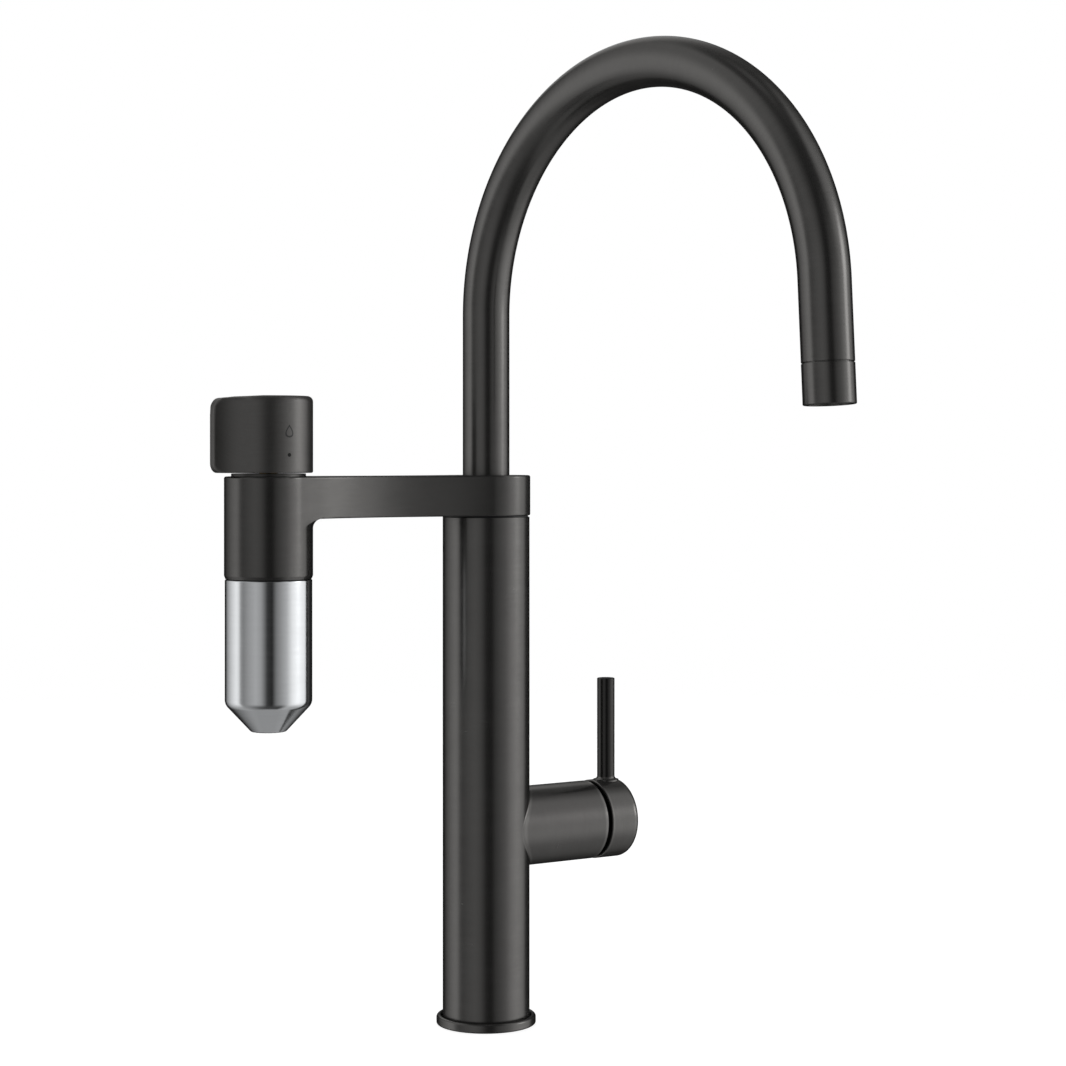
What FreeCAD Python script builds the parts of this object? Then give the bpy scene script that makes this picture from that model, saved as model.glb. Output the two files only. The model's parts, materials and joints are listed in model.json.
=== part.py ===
import FreeCAD, Part
import math
import os
from FreeCAD import Vector as V

# Kitchen tap: tall column, swivel arch spout, side lever, and a filter capsule
# hanging under a horizontal arm with its own rotary knob. Millimetres.
# Origin: centre of the column on the deck. +Z up. Arm towards -X, lever towards
# +X, the user stands at -Y.

# ---- driving dimensions ----------------------------------------------------
COL_R, COL_RI = 20.45, 18.5         # column tube
COL_Z0, COL_Z1 = 1.3, 238.3
FLANGE_R, FLANGE_H = 23.4, 4.4      # ring round the foot
RING_R, RING_RI = 20.8, 18.5        # head ring of the filter arm
RING_Z0, RING_Z1 = 239.0, 257.9
ARM_SIDE_R = 130.0                  # radius of the bar's hollow sides
HX = -114.8                         # axis of the holder, capsule and knob
HOLD_R, HOLD_RI = 19.75, 18.35      # holder sleeve
HOLD_Z0 = 212.4
NECK_R = 16.6                       # recessed neck under the knob
KNOB_R, KNOB_Z0, KNOB_Z1 = 19.75, 259.5, 293.7
LUG_L, LUG_T, LUG_TOP = 28.1, 4.1, 292.6   # fin of the knob
LUG_FLANK = 53.0                    # degrees round the knob where its flank begins
KNOB_ROUND = 2.6                    # round of the knob's top edge
CAP_R = 19.4                        # capsule shell
CAP_Z0, CAP_Z1 = 144.3, 212.1
SP_R, SP_RI = 11.0, 9.8             # spout tube
SP_ARC_Z, SP_ARC_R = 332.9, 106.5   # start and radius of the arch
SP_LEAN = 3.17                      # degrees, outward lean of the outlet leg
SP_END_Z = 287.9                    # height of the outlet
SP_SLEEVE = 17.0                    # length of the outlet sleeve
SP_SWING = -82.2                    # plan direction of the spout at rest, degrees
BAR_Z, BAR_R, BAR_RI = 91.1, 18.7, 17.0   # lever barrel
BAR_X1 = 57.9
CAP_X0, CAP_X1 = 60.1, 76.6         # lever cap
LCAP_R = 18.9
PIV_X = 44.0                        # pivot of the lever's tilt, on the barrel's axis
CAV_R = 24.1                        # spherical hollow of the lever cap about the pivot
ROD_X, ROD_R, ROD_TOP = 69.0, 4.25, 159.0

parts = {}


# ---- helpers ---------------------------------------------------------------
def cyl(r, z0, z1, x=0.0, y=0.0):
    return Part.makeCylinder(r, z1 - z0, V(x, y, z0), V(0, 0, 1))


def cylx(r, x0, x1, y=0.0, z=BAR_Z):
    return Part.makeCylinder(r, x1 - x0, V(x0, y, z), V(1, 0, 0))


def rod_between(r, a, b):
    a, b = V(*a), V(*b)
    d = b.sub(a)
    return Part.makeCylinder(r, d.Length, a, d)


def pipe_z(ro, ri, z0, z1, x=0.0, y=0.0):
    return cyl(ro, z0, z1, x, y).cut(cyl(ri, z0 - 1, z1 + 1, x, y))


def pipe_x(ro, ri, x0, x1, y=0.0, z=BAR_Z):
    return cylx(ro, x0, x1, y, z).cut(cylx(ri, x0 - 1, x1 + 1, y, z))


def box(x0, y0, z0, x1, y1, z1):
    return Part.makeBox(x1 - x0, y1 - y0, z1 - z0, V(x0, y0, z0))


def rounded(points, place):
    """Closed wire through 2-D points (u, v[, corner radius]); place maps to 3-D."""
    n = len(points)
    corner = []
    for i in range(n):
        p = points[i]
        a, b = points[i - 1], points[(i + 1) % n]
        r = p[2] if len(p) > 2 else 0.0
        if r <= 0:
            corner.append(((p[0], p[1]), (p[0], p[1]), None))
            continue
        ua, va = a[0] - p[0], a[1] - p[1]
        ub, vb = b[0] - p[0], b[1] - p[1]
        la, lb = math.hypot(ua, va), math.hypot(ub, vb)
        ua, va, ub, vb = ua / la, va / la, ub / lb, vb / lb
        half = math.acos(max(-1.0, min(1.0, ua * ub + va * vb))) / 2
        t = r / math.tan(half)
        bu, bv = ua + ub, va + vb
        lc = math.hypot(bu, bv)
        dist = r / math.sin(half) - r
        mid = (p[0] + bu / lc * dist, p[1] + bv / lc * dist)
        corner.append(((p[0] + ua * t, p[1] + va * t), (p[0] + ub * t, p[1] + vb * t), mid))
    edges = []
    for i in range(n):
        start, end, mid = corner[i]
        if mid is not None:
            edges.append(Part.Arc(place(*start), place(*mid), place(*end)).toShape())
        nxt = corner[(i + 1) % n][0]
        if math.hypot(nxt[0] - end[0], nxt[1] - end[1]) > 1e-6:
            edges.append(Part.LineSegment(place(*end), place(*nxt)).toShape())
    return Part.Wire(edges)


def turned(points, x=0.0, y=0.0):
    """Solid of revolution about a vertical axis from (radius, z[, corner radius])."""
    face = Part.Face(rounded(points, lambda u, v: V(x + u, y, v)))
    return face.revolve(V(x, y, 0), V(0, 0, 1), 360)


def turned_x(points, z=BAR_Z):
    """Solid of revolution about the barrel's axis from (x, radius[, corner radius])."""
    face = Part.Face(rounded(points, lambda u, v: V(u, 0, z + v)))
    return face.revolve(V(0, 0, z), V(1, 0, 0), 360)


def prism(points, z0, z1):
    face = Part.Face(rounded(points, lambda u, v: V(u, v, z0)))
    return face.extrude(V(0, 0, z1 - z0))


def ring_seal(rc, rs, z, x=0.0, y=0.0):
    return Part.makeTorus(rc, rs, V(x, y, z), V(0, 0, 1))


def hex_socket(af, depth, start, direction):
    """Hexagonal pocket tool of width af across flats."""
    d = V(*direction)
    d.normalize()
    s = V(*start)
    helper = V(0, 0, 1) if abs(d.z) < 0.9 else V(1, 0, 0)
    e1 = d.cross(helper)
    e1.normalize()
    e2 = d.cross(e1)
    rc = af / 2 / math.cos(math.radians(30))
    pts = []
    for k in range(7):
        a = math.radians(60 * (k % 6))
        pts.append(s + e1 * (rc * math.cos(a)) + e2 * (rc * math.sin(a)))
    return Part.Face(Part.makePolygon(pts)).extrude(d * depth)


def grub(r, start, direction, length):
    """Grub screw: chamfered rod with a hex socket in its outer end."""
    d = V(*direction)
    d.normalize()
    s = V(*start)
    body = Part.makeCylinder(r, length, s, d)
    tip = Part.makeCone(r * 0.6, r, r * 0.4, s, d)
    lead = Part.makeCylinder(r + 1, r * 0.4, s, d).cut(tip)
    body = body.cut(lead)
    out = s + d * length
    return body.cut(hex_socket(r, 1.6, tuple(out), tuple(d * -1)))


def one(shape):
    shape = shape.removeSplitter()
    if shape.ShapeType == "Compound" and len(shape.Solids) == 1:
        shape = shape.Solids[0]
    return shape


def group(shapes):
    return Part.makeCompound([s if s.ShapeType == "Solid" else s.Solids[0] for s in shapes])


# ---- foot ------------------------------------------------------------------
# beaded ring round the foot: a groove by the column, and a small ledge under its edge
parts["base_flange"] = turned([
    (20.0, 0.0), (FLANGE_R, 0.0, 0.9), (FLANGE_R, FLANGE_H, 1.3),
    (COL_R + 0.7, FLANGE_H, 0.7), (COL_R + 0.7, 2.2, 0.2), (COL_R + 0.05, 1.9), (COL_R + 0.05, 1.25), (20.0, 1.25)])

parts["base_gasket"] = turned([
    (15.2, 0.0, 0.3), (19.8, 0.0, 0.3), (19.8, 1.2, 0.3), (15.2, 1.2, 0.3)])

# brass plug in the column's foot: two hose inlets, two stud sockets, two riser sockets
INLET_Y, INLET_R, INLET_L = 7.5, 4.5, 11.0
STUD_X, STUD_R, STUD_L = 11.5, 2.5, 14.0
core = cyl(18.45, COL_Z0, 20.0)
for sy in (-1, 1):
    core = core.cut(cyl(INLET_R, COL_Z0 - 1, COL_Z0 + INLET_L, 0, sy * INLET_Y))
    core = core.cut(cyl(2.9, COL_Z0 + INLET_L - 0.5, 15.5, 0, sy * INLET_Y))
    core = core.cut(cyl(4.05, 15.0, 21.0, 0, sy * INLET_Y))
for sx in (-1, 1):
    core = core.cut(cyl(STUD_R, COL_Z0 - 1, COL_Z0 + STUD_L, sx * STUD_X, 0))
parts["base_core"] = one(core)

# ---- column ----------------------------------------------------------------
col = pipe_z(COL_R, COL_RI, COL_Z0, COL_Z1)
col = col.cut(cylx(BAR_RI, 0, 30))
parts["column_tube"] = one(col)

# ---- risers ----------------------------------------------------------------
parts["cold_riser"] = pipe_z(4.0, 3.0, 15.1, 84.0, 0, -INLET_Y)
parts["hot_riser"] = pipe_z(4.0, 3.0, 15.1, 84.0, 0, INLET_Y)
parts["mixed_riser"] = pipe_z(4.5, 3.5, 100.0, 217.9, 1.0, 0)
FEED = (-3.0, -12.5)
parts["feed_riser"] = pipe_z(3.0, 2.2, 96.0, 217.9, FEED[0], FEED[1])

# ---- valve body, inside the barrel and the column ---------------------------
VB_R = 16.9
body = cylx(VB_R, -6.5, 47.0)
body = body.cut(cylx(14.05, 17.0, 48.0))
for sy in (-1, 1):
    body = body.cut(cyl(4.05, 60, 84.1, 0, sy * INLET_Y))
    body = body.cut(rod_between(2.6, (0, sy * INLET_Y, 84.6), (18, sy * 6.0, 84.6)))
    body = body.cut(cyl(2.6, 83.5, 86.0, 0, sy * INLET_Y))
body = body.cut(cyl(4.55, 99.9, 120, 1.0, 0))
body = body.cut(rod_between(2.8, (1.0, 0, 98.4), (18, 0, 98.4)))
body = body.cut(cyl(2.8, 96.5, 100.5, 1.0, 0))
body = body.cut(cyl(3.05, 95.9, 120, FEED[0], FEED[1]))
body = body.cut(cyl(2.0, 84.6, 96.0, FEED[0], FEED[1]))
body = body.cut(rod_between(2.0, (0, -INLET_Y, 84.6), (FEED[0], FEED[1], 85.6)))
parts["valve_body"] = one(body)

parts["riser_seals"] = group([
    ring_seal(5.0, 0.75, 22.0, 0, -INLET_Y).common(cyl(9, 20.6, 24, 0, -INLET_Y)),
    ring_seal(5.0, 0.75, 22.0, 0, INLET_Y).common(cyl(9, 20.6, 24, 0, INLET_Y))])

# ---- lever barrel ------------------------------------------------------------
barrel = turned_x([(5.0, BAR_RI), (BAR_X1, BAR_RI, 0.3), (BAR_X1, BAR_R, 0.75), (5.0, BAR_R)])
barrel = barrel.cut(cyl(COL_R, 60, 125))
parts["lever_barrel"] = one(barrel.Solids[0] if len(barrel.Solids) == 1 else
                            max(barrel.Solids, key=lambda s: s.Volume))

# ---- ceramic cartridge --------------------------------------------------------
base = cylx(13.95, 18.4, 23.5)
for y, dz in ((-6.0, -6.5), (6.0, -6.5), (0.0, 7.3)):
    base = base.cut(cylx(2.6, 18, 24, y, BAR_Z + dz))
parts["cartridge_base"] = one(base)
parts["cartridge_port_seals"] = group([
    Part.makeTorus(3.6, 0.65, V(17.7, y, BAR_Z + dz), V(1, 0, 0))
    for y, dz in ((-6.0, -6.5), (6.0, -6.5), (0.0, 7.3))])
shell = turned_x([(23.6, 12.5), (43.95, 12.5), (43.95, 8.5), (49.0, 8.5), (49.0, 10.3, 0.4),
                  (44.4, 10.3), (44.4, 13.95), (23.6, 13.95)])
parts["cartridge_body"] = shell
fixed = cylx(12.35, 23.6, 26.7)
for y, dz in ((-6.0, -6.5), (6.0, -6.5), (0.0, 7.3)):
    fixed = fixed.cut(cylx(2.6, 23, 27, y, BAR_Z + dz))
parts["ceramic_disc_fixed"] = one(fixed)
moving = cylx(8.0, 26.78, 29.7)
moving = moving.cut(cylx(4.6, 26, 28.6))
parts["ceramic_disc_moving"] = one(moving)
driver = cylx(8.0, 29.7, 35.9)
driver = driver.cut(cylx(2.45, 31.5, 37))
driver = driver.cut(Part.makeCone(2.45, 4.0, 1.6, V(34.4, 0, BAR_Z), V(1, 0, 0)))
parts["disc_driver"] = one(driver)
# turning guide of the stem, with a slot for its tilt
rotor = cylx(12.4, 36.4, 43.85).fuse(cylx(8.42, 43.0, 49.4))
rotor = rotor.cut(box(36, -2.35, BAR_Z - 4.9, 50, 2.35, BAR_Z + 5.8))
rotor = rotor.cut(Part.makeCylinder(1.2, 18, V(PIV_X, -9, BAR_Z), V(0, 1, 0)))
rotor = rotor.Solids[0] if len(rotor.Solids) == 1 else max(rotor.Solids, key=lambda s: s.Volume)
parts["stem_carrier"] = one(rotor)
parts["stem_pivot_pin"] = Part.makeCylinder(1.2, 15.6, V(PIV_X, -7.8, BAR_Z), V(0, 1, 0))
stem = box(36.6, -2.0, BAR_Z - 2.0, 68.6, 2.0, BAR_Z + 2.0)
stem = stem.fuse(cylx(1.2, 34.0, 37.0)).fuse(Part.makeSphere(2.2, V(34.5, 0, BAR_Z)))
stem = stem.cut(Part.makeCylinder(1.26, 8, V(PIV_X, -4, BAR_Z), V(0, 1, 0)))
parts["cartridge_stem"] = one(stem)
parts["cartridge_nut"] = turned_x([(45.0, 10.6), (50.0, 10.6, 0.4), (50.0, 14.0, 0.5), (45.0, 14.0)])
parts["dome_trim"] = turned_x([(50.3, 11.2), (59.4, 14.0, 0.3), (59.4, 16.9, 0.4), (50.3, 16.9)])

# ---- lever ---------------------------------------------------------------------
GRUB_X = 66.5
cap = turned_x([(CAP_X0, 0.0), (CAP_X0, LCAP_R, 0.35), (CAP_X1, LCAP_R, 3.9), (CAP_X1, 0.0)])
cap = cap.cut(Part.makeSphere(CAV_R, V(PIV_X, 0, BAR_Z)))
cap = cap.fuse(cylx(4.6, 55.4, 70.0)).fuse(cylx(6.0, 64.2, 70.0))
# small foot of the rod, blended into the cap's round
foot_top = BAR_Z + LCAP_R + 2.1
foot = turned([(0.0, BAR_Z + 14), (ROD_R + 1.9, BAR_Z + 14), (ROD_R + 1.9, BAR_Z + LCAP_R - 0.2),
               (ROD_R, BAR_Z + LCAP_R - 0.2, 1.8), (ROD_R, foot_top), (0.0, foot_top)], ROD_X)
cap = cap.fuse(foot)
cap = cap.cut(box(55, -2.05, BAR_Z - 2.05, 68.9, 2.05, BAR_Z + 2.05))
cap = cap.cut(cyl(ROD_R, BAR_Z + 11.0, BAR_Z + 40, ROD_X))
cap = cap.cut(cyl(2.05, BAR_Z - 22, BAR_Z - 1.9, GRUB_X))
parts["lever_cap"] = one(cap)
parts["lever_rod"] = turned([
    (0.0, BAR_Z + 11.05), (ROD_R, BAR_Z + 11.05, 0.4), (ROD_R, ROD_TOP, 0.45), (0.0, ROD_TOP)], ROD_X)
parts["lever_grub_screw"] = grub(2.0, (GRUB_X, 0, BAR_Z - 2.05), (0, 0, -1), 6.5)

# ---- head: brass core in the column's top and in the ring ------------------------
HC_Z0, HC_Z1 = 212.0, 249.8
head = cyl(18.45, HC_Z0, HC_Z1)
head = head.cut(cyl(9.06, 226.0, HC_Z1 + 1))
head = head.fuse(cyl(3.2, 225.0, 245.0))                       # filtered-water spigot
head = head.cut(cyl(1.8, 220.0, 246.0))
head = head.cut(cyl(4.55, HC_Z0 - 1, 218.0, 1.0, 0))
head = head.cut(rod_between(2.0, (1.0, 5.6, 217.0), (1.0, 5.6, 227.0)))
head = head.cut(box(-1.0, 0, 214.0, 3.0, 6.6, 217.5))
head = head.cut(cyl(3.05, HC_Z0 - 1, 218.0, FEED[0], FEED[1]))
head = head.cut(cyl(1.7, 217.0, 244.0, FEED[0], FEED[1]))
head = head.cut(rod_between(1.7, (FEED[0], FEED[1], 243.0), (-19.5, -2.7, 243.0)))
RET = (-13.5, 2.7)
head = head.cut(cyl(1.7, 221.5, 247.0, RET[0], RET[1]))
head = head.cut(rod_between(1.7, (RET[0], RET[1], 246.0), (-20.0, RET[1], 246.0)))
head = head.cut(rod_between(1.5, (RET[0], RET[1], 222.5), (0, 0, 222.5)))
for a in (60, 120):
    ca, sa = math.cos(math.radians(a)), math.sin(math.radians(a))
    head = head.cut(rod_between(2.05, (15.4 * ca, 15.4 * sa, 241.6), (20 * ca, 20 * sa, 241.6)))
head = head.cut(cyl(1.2, 244.0, 251.0, 0, 13.6))               # stop-pin hole
for z in (216.0, 234.0):                                       # seal grooves
    head = head.cut(pipe_z(19.5, 17.02, z - 0.75, z + 0.75))
parts["head_core"] = one(head)
parts["head_core_seals"] = group([
    Part.makeTorus(17.75, 0.7, V(0, 0, z), V(0, 0, 1)) for z in (216.0, 234.0)])

parts["head_washer"] = turned([(18.55, COL_Z1 + 0.02), (19.75, COL_Z1 + 0.02, 0.15),
                               (19.75, RING_Z0 - 0.02, 0.15), (18.55, RING_Z0 - 0.02)])

# ---- filter arm: ring, waisted bar and holder sleeve in one piece ----------------
# each side of the bar is one hollow arc that runs out of the ring and of the holder
ca, cb = RING_R + ARM_SIDE_R, HOLD_R + ARM_SIDE_R
SIDE_X = (HX ** 2 + ca ** 2 - cb ** 2) / (2 * HX)              # centre of the side's arc
SIDE_Y = math.sqrt(ca ** 2 - SIDE_X ** 2)


def bar_plan(z):
    rx, ry = SIDE_X * RING_R / ca, SIDE_Y * RING_R / ca
    hx, hy = HX + (SIDE_X - HX) * HOLD_R / cb, SIDE_Y * HOLD_R / cb
    w = SIDE_Y - ARM_SIDE_R
    return Part.Face(Part.Wire([
        Part.Arc(V(rx, ry, z), V(SIDE_X, w, z), V(hx, hy, z)).toShape(),
        Part.LineSegment(V(hx, hy, z), V(hx, -hy, z)).toShape(),
        Part.Arc(V(hx, -hy, z), V(SIDE_X, -w, z), V(rx, -ry, z)).toShape(),
        Part.LineSegment(V(rx, -ry, z), V(rx, ry, z)).toShape()]))


bar = bar_plan(RING_Z0).extrude(V(0, 0, RING_Z1 - RING_Z0))
arm = bar.fuse(cyl(RING_R, RING_Z0, RING_Z1))
arm = arm.fuse(turned([(0, HOLD_Z0), (HOLD_R - 0.55, HOLD_Z0, 0.15), (HOLD_R, HOLD_Z0 + 1.5, 0.5), (HOLD_R, RING_Z1), (0, RING_Z1)], HX))
# blend under the bar at the holder
FB = 4.2
blend = turned([(HOLD_R - 1.0, RING_Z0 + 1.0), (HOLD_R - 1.0, RING_Z0 - FB),
                (HOLD_R, RING_Z0 - FB), (HOLD_R, RING_Z0, FB - 0.001),
                (HOLD_R + FB, RING_Z0), (HOLD_R + FB, RING_Z0 + 1.0)], HX)
blend = blend.common(bar_plan(RING_Z0 - 10).extrude(V(0, 0, 11)))
arm = arm.fuse(blend)
arm = arm.removeSplitter()
# soften the long top and bottom edges
try:
    soft = []
    for e in arm.Edges:
        b = e.BoundBox
        flat = b.ZLength < 1e-4
        if flat and abs(b.ZMin - RING_Z1) < 1e-4:
            soft.append(e)
    arm_soft = arm.makeFillet(0.45, soft)
    if arm_soft.isValid() and len(arm_soft.Solids) == 1:
        arm = arm_soft
        print("arm top edges rounded")
except Exception as err:
    print("arm edges stay sharp:", err)
arm = arm.cut(cyl(RING_RI, RING_Z0 - 1, 253.2))
arm = arm.cut(cyl(12.4, 250, 260))
arm = arm.cut(cyl(HOLD_RI, HOLD_Z0 - 1, 255.9, HX))
arm = arm.cut(cyl(16.9, 250, 260, HX))
arm = arm.cut(rod_between(1.7, (-16.0, -2.7, 243.0), (HX + 16, -2.7, 243.0)))
arm = arm.cut(rod_between(1.7, (-16.0, 2.7, 246.0), (HX + 16, 2.7, 246.0)))
for a in (60, 120):
    ca, sa = math.cos(math.radians(a)), math.sin(math.radians(a))
    arm = arm.cut(rod_between(2.05, (15 * ca, 15 * sa, 241.6), (24 * ca, 24 * sa, 241.6)))
arm = arm.Solids[0] if len(arm.Solids) == 1 else max(arm.Solids, key=lambda s: s.Volume)
parts["filter_arm"] = one(arm)
parts["arm_set_screws"] = group([
    grub(2.0, (15.5 * math.cos(math.radians(a)), 15.5 * math.sin(math.radians(a)), 241.6),
         (math.cos(math.radians(a)), math.sin(math.radians(a)), 0), 4.9) for a in (60, 120)])

# ---- swivel --------------------------------------------------------------------
parts["swivel_washer"] = pipe_z(15.2, 9.4, HC_Z1, 250.3).cut(cyl(1.4, 249, 251, 0, 13.6))
parts["swivel_stop_pin"] = cyl(1.2, 244.1, 252.6, 0, 13.6)
parts["spout_bush"] = turned([(11.06, 253.35), (12.35, 253.35), (12.35, 257.9, 0.2), (11.06, 257.9, 0.2)])

SLOT_IN = 12.2
nip = turned([(6.2, 228.0), (9.0, 228.0, 0.4), (9.0, 250.4), (15.4, 250.4, 0.3),
              (15.4, 252.9, 0.3), (9.75, 252.9), (9.75, 263.0, 0.4), (6.2, 263.0)])
# notch for the stop pin: from 22.8 to 172.8 degrees in plan plus the pin's half width
a0, a1 = 22.8 - 6.6, 172.8 + 6.6
sector = Part.makeCylinder(20, 3.5, V(0, 0, 250.0), V(0, 0, 1), a1 - a0)
sector.rotate(V(0, 0, 0), V(0, 0, 1), a0)
sector = sector.cut(cyl(SLOT_IN, 249, 255))
nip = nip.cut(sector)
for z in (232.5, 240.5):
    nip = nip.cut(pipe_z(10.0, 7.37, z - 0.85, z + 0.85))
parts["spout_nipple"] = one(nip)
parts["nipple_orings"] = group([Part.makeTorus(8.2, 0.8, V(0, 0, z), V(0, 0, 1)) for z in (232.5, 240.5)])


# ---- spout ----------------------------------------------------------------------
def spout_frame():
    ang = math.radians(180 - SP_LEAN)
    ex = SP_ARC_R - SP_ARC_R * math.cos(ang)
    ez = SP_ARC_Z + SP_ARC_R * math.sin(ang)
    tdir = (math.sin(ang), math.cos(ang))
    length = (ez - SP_END_Z) / -tdir[1]
    return ex, ez, tdir, length


EX, EZ, TD, LEG = spout_frame()


def spout_wire(z0, leg):
    ang = math.radians(180 - SP_LEAN)
    p0 = V(0, 0, z0)
    p1 = V(0, 0, SP_ARC_Z)
    mid = V(SP_ARC_R - SP_ARC_R * math.cos(ang / 2), 0, SP_ARC_Z + SP_ARC_R * math.sin(ang / 2))
    p2 = V(EX, 0, EZ)
    p3 = V(EX + TD[0] * leg, 0, EZ + TD[1] * leg)
    return Part.Wire([Part.LineSegment(p0, p1).toShape(), Part.Arc(p1, mid, p2).toShape(),
                      Part.LineSegment(p2, p3).toShape()])


def sweep(r, z0, leg):
    ring = Part.Wire([Part.makeCircle(r, V(0, 0, z0), V(0, 0, 1))])
    return spout_wire(z0, leg).makePipeShell([ring], True, True)


def along(leg):
    return V(EX + TD[0] * leg, 0, EZ + TD[1] * leg)


def swing(shape):
    shape.rotate(V(0, 0, 0), V(0, 0, 1), SP_SWING)
    return shape


SLEEVE_AT = LEG - SP_SLEEVE
dvec = V(TD[0], 0, TD[1])
sp = sweep(SP_R, 253.0, SLEEVE_AT - 0.35)
sp = sp.cut(sweep(SP_RI, 252.0, SLEEVE_AT + 1))
spigot = Part.makeCylinder(10.3, 4.3, along(SLEEVE_AT - 0.4), dvec)
spigot = spigot.cut(Part.makeCylinder(8.9, 8, along(SLEEVE_AT - 2), dvec))
sp = sp.fuse(spigot)
parts["spout_tube"] = swing(one(sp))
line = sweep(3.0, 249.0, LEG - 12.0)
line = line.cut(sweep(2.2, 248.0, LEG - 11.0))
line = line.fuse(pipe_z(4.4, 2.2, 245.6, 251.0)).fuse(pipe_z(4.4, 3.26, 240.5, 245.6))
parts["filtered_line"] = swing(one(line))

# outlet sleeve: turned about the leaning leg
ax0 = along(SLEEVE_AT)


def leg_turned(points):
    """(radius, distance below the sleeve's top[, corner radius]) about the outlet leg."""
    side = V(-TD[1], 0, TD[0])
    face = Part.Face(rounded(points, lambda u, v: ax0 + side * u + dvec * v))
    return face.revolve(ax0, dvec, 360)


parts["outlet_sleeve"] = swing(leg_turned([
    (10.35, 0.0), (SP_R, 0.0, 0.35), (SP_R, SP_SLEEVE, 0.5), (9.6, SP_SLEEVE, 0.3),
    (9.6, 4.6), (10.35, 4.6)]))
aer = leg_turned([(0.0, 8.0), (9.5, 8.0), (9.5, 15.6, 0.5), (8.4, 15.6, 0.3), (8.0, 14.4, 0.3),
                  (3.4, 14.4), (3.4, 15.4, 0.3), (0.0, 15.4)])
aer = aer.cut(Part.makeCylinder(2.0, 30, ax0 - dvec * 5, dvec))
parts["aerator_insert"] = swing(one(aer))
parts["aerator_seal"] = swing(leg_turned([(7.4, 5.4), (9.5, 5.4, 0.4), (9.5, 7.9, 0.4), (7.4, 7.9)]))

# ---- holder: valve block and filter valve ----------------------------------------
vb = cyl(18.3, 226.0, 255.8, HX)
vb = vb.cut(cyl(7.2, 225.0, 236.2, HX))
vb = vb.cut(cyl(10.05, 238.1, 257.0, HX))
vb = vb.cut(rod_between(1.7, (HX + 9.0, -2.7, 243.0), (HX + 20, -2.7, 243.0)))
vb = vb.cut(cyl(1.7, 229.5, 247.0, HX + 13.5, 2.7))
vb = vb.cut(rod_between(1.7, (HX + 13.5, 2.7, 246.0), (HX + 20, 2.7, 246.0)))
vb = vb.cut(rod_between(1.7, (HX + 13.5, 2.7, 230.0), (HX + 5.0, 1.0, 230.0)))
vb = vb.cut(cyl(1.6, 235.5, 239.0, HX - 4.0, 0))
for z in (238.0, 251.0):
    vb = vb.cut(pipe_z(19.5, 16.87, z - 0.75, z + 0.75, HX))
parts["valve_block"] = one(vb)
parts["valve_block_seals"] = group([Part.makeTorus(17.6, 0.7, V(HX, 0, z), V(0, 0, 1)) for z in (238.0, 251.0)])
fd = cyl(8.1, 238.2, 240.6, HX).cut(cyl(1.6, 238, 241, HX - 4.0, 0))
parts["valve_disc_fixed"] = fd
md = cyl(7.7, 240.65, 243.1, HX).cut(cyl(1.8, 240, 242.2, HX - 4.0, 0))
parts["valve_disc_moving"] = md
sl = turned([(8.3, 238.2), (9.95, 238.2), (9.95, 255.8), (8.6, 255.8), (8.6, 257.6, 0.3), (4.15, 257.6),
             (4.15, 246.4), (8.3, 246.4)], HX)
sl = sl.cut(rod_between(1.7, (HX + 7.0, -2.7, 243.0), (HX + 12, -2.7, 243.0)))
parts["filter_valve_sleeve"] = one(sl)
spn = turned([(0, 243.15), (7.7, 243.15), (7.7, 245.9), (4.08, 245.9), (4.08, 261.0), (3.8, 261.0),
              (3.8, 277.0, 0.5), (0, 277.0)], HX)
spn = spn.cut(pipe_z(5.0, 3.07, 251.45, 252.55, HX))
parts["knob_spindle"] = one(spn)
parts["spindle_oring"] = Part.makeTorus(3.6, 0.5, V(HX, 0, 252.0), V(0, 0, 1))
parts["knob_glide_ring"] = turned([(9.2, 255.85), (NECK_R, 255.85), (NECK_R, 259.2, 0.2), (9.2, 259.2, 0.2)], HX)

# ---- knob ------------------------------------------------------------------------
kn = turned([(17.0, KNOB_Z0), (KNOB_R, KNOB_Z0, 0.3), (KNOB_R, KNOB_Z1, KNOB_ROUND), (0, KNOB_Z1),
             (0, 287.0), (17.0, 287.0, 1.0)], HX)
# grip: a fin towards -X whose hollow flanks run out of the knob's round side
fg = math.radians(LUG_FLANK)
q1 = (-KNOB_R * math.sin(fg), -KNOB_R * math.cos(fg))          # where the flank leaves the round
q2 = (-LUG_L, -LUG_T / 2)                                      # corner of the fin's end
chord = math.hypot(q2[0] - q1[0], q2[1] - q1[1])
lean = fg - math.atan2(q2[1] - q1[1], q1[0] - q2[0])           # half the flank's turn
rad = chord / 2 / math.sin(lean)
bulge = rad * (1 - math.cos(lean))
mx, my = (q1[0] + q2[0]) / 2, (q1[1] + q2[1]) / 2
ux, uy = (q2[0] - q1[0]) / chord, (q2[1] - q1[1]) / chord
q3 = (mx - uy * -bulge, my + ux * -bulge)                      # middle of the hollow flank
if math.hypot(q3[0], q3[1]) > math.hypot(mx, my):
    q3 = (mx - uy * bulge, my + ux * bulge)


def plan(q, side):
    return V(HX + q[0], side * q[1], KNOB_Z0)


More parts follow.
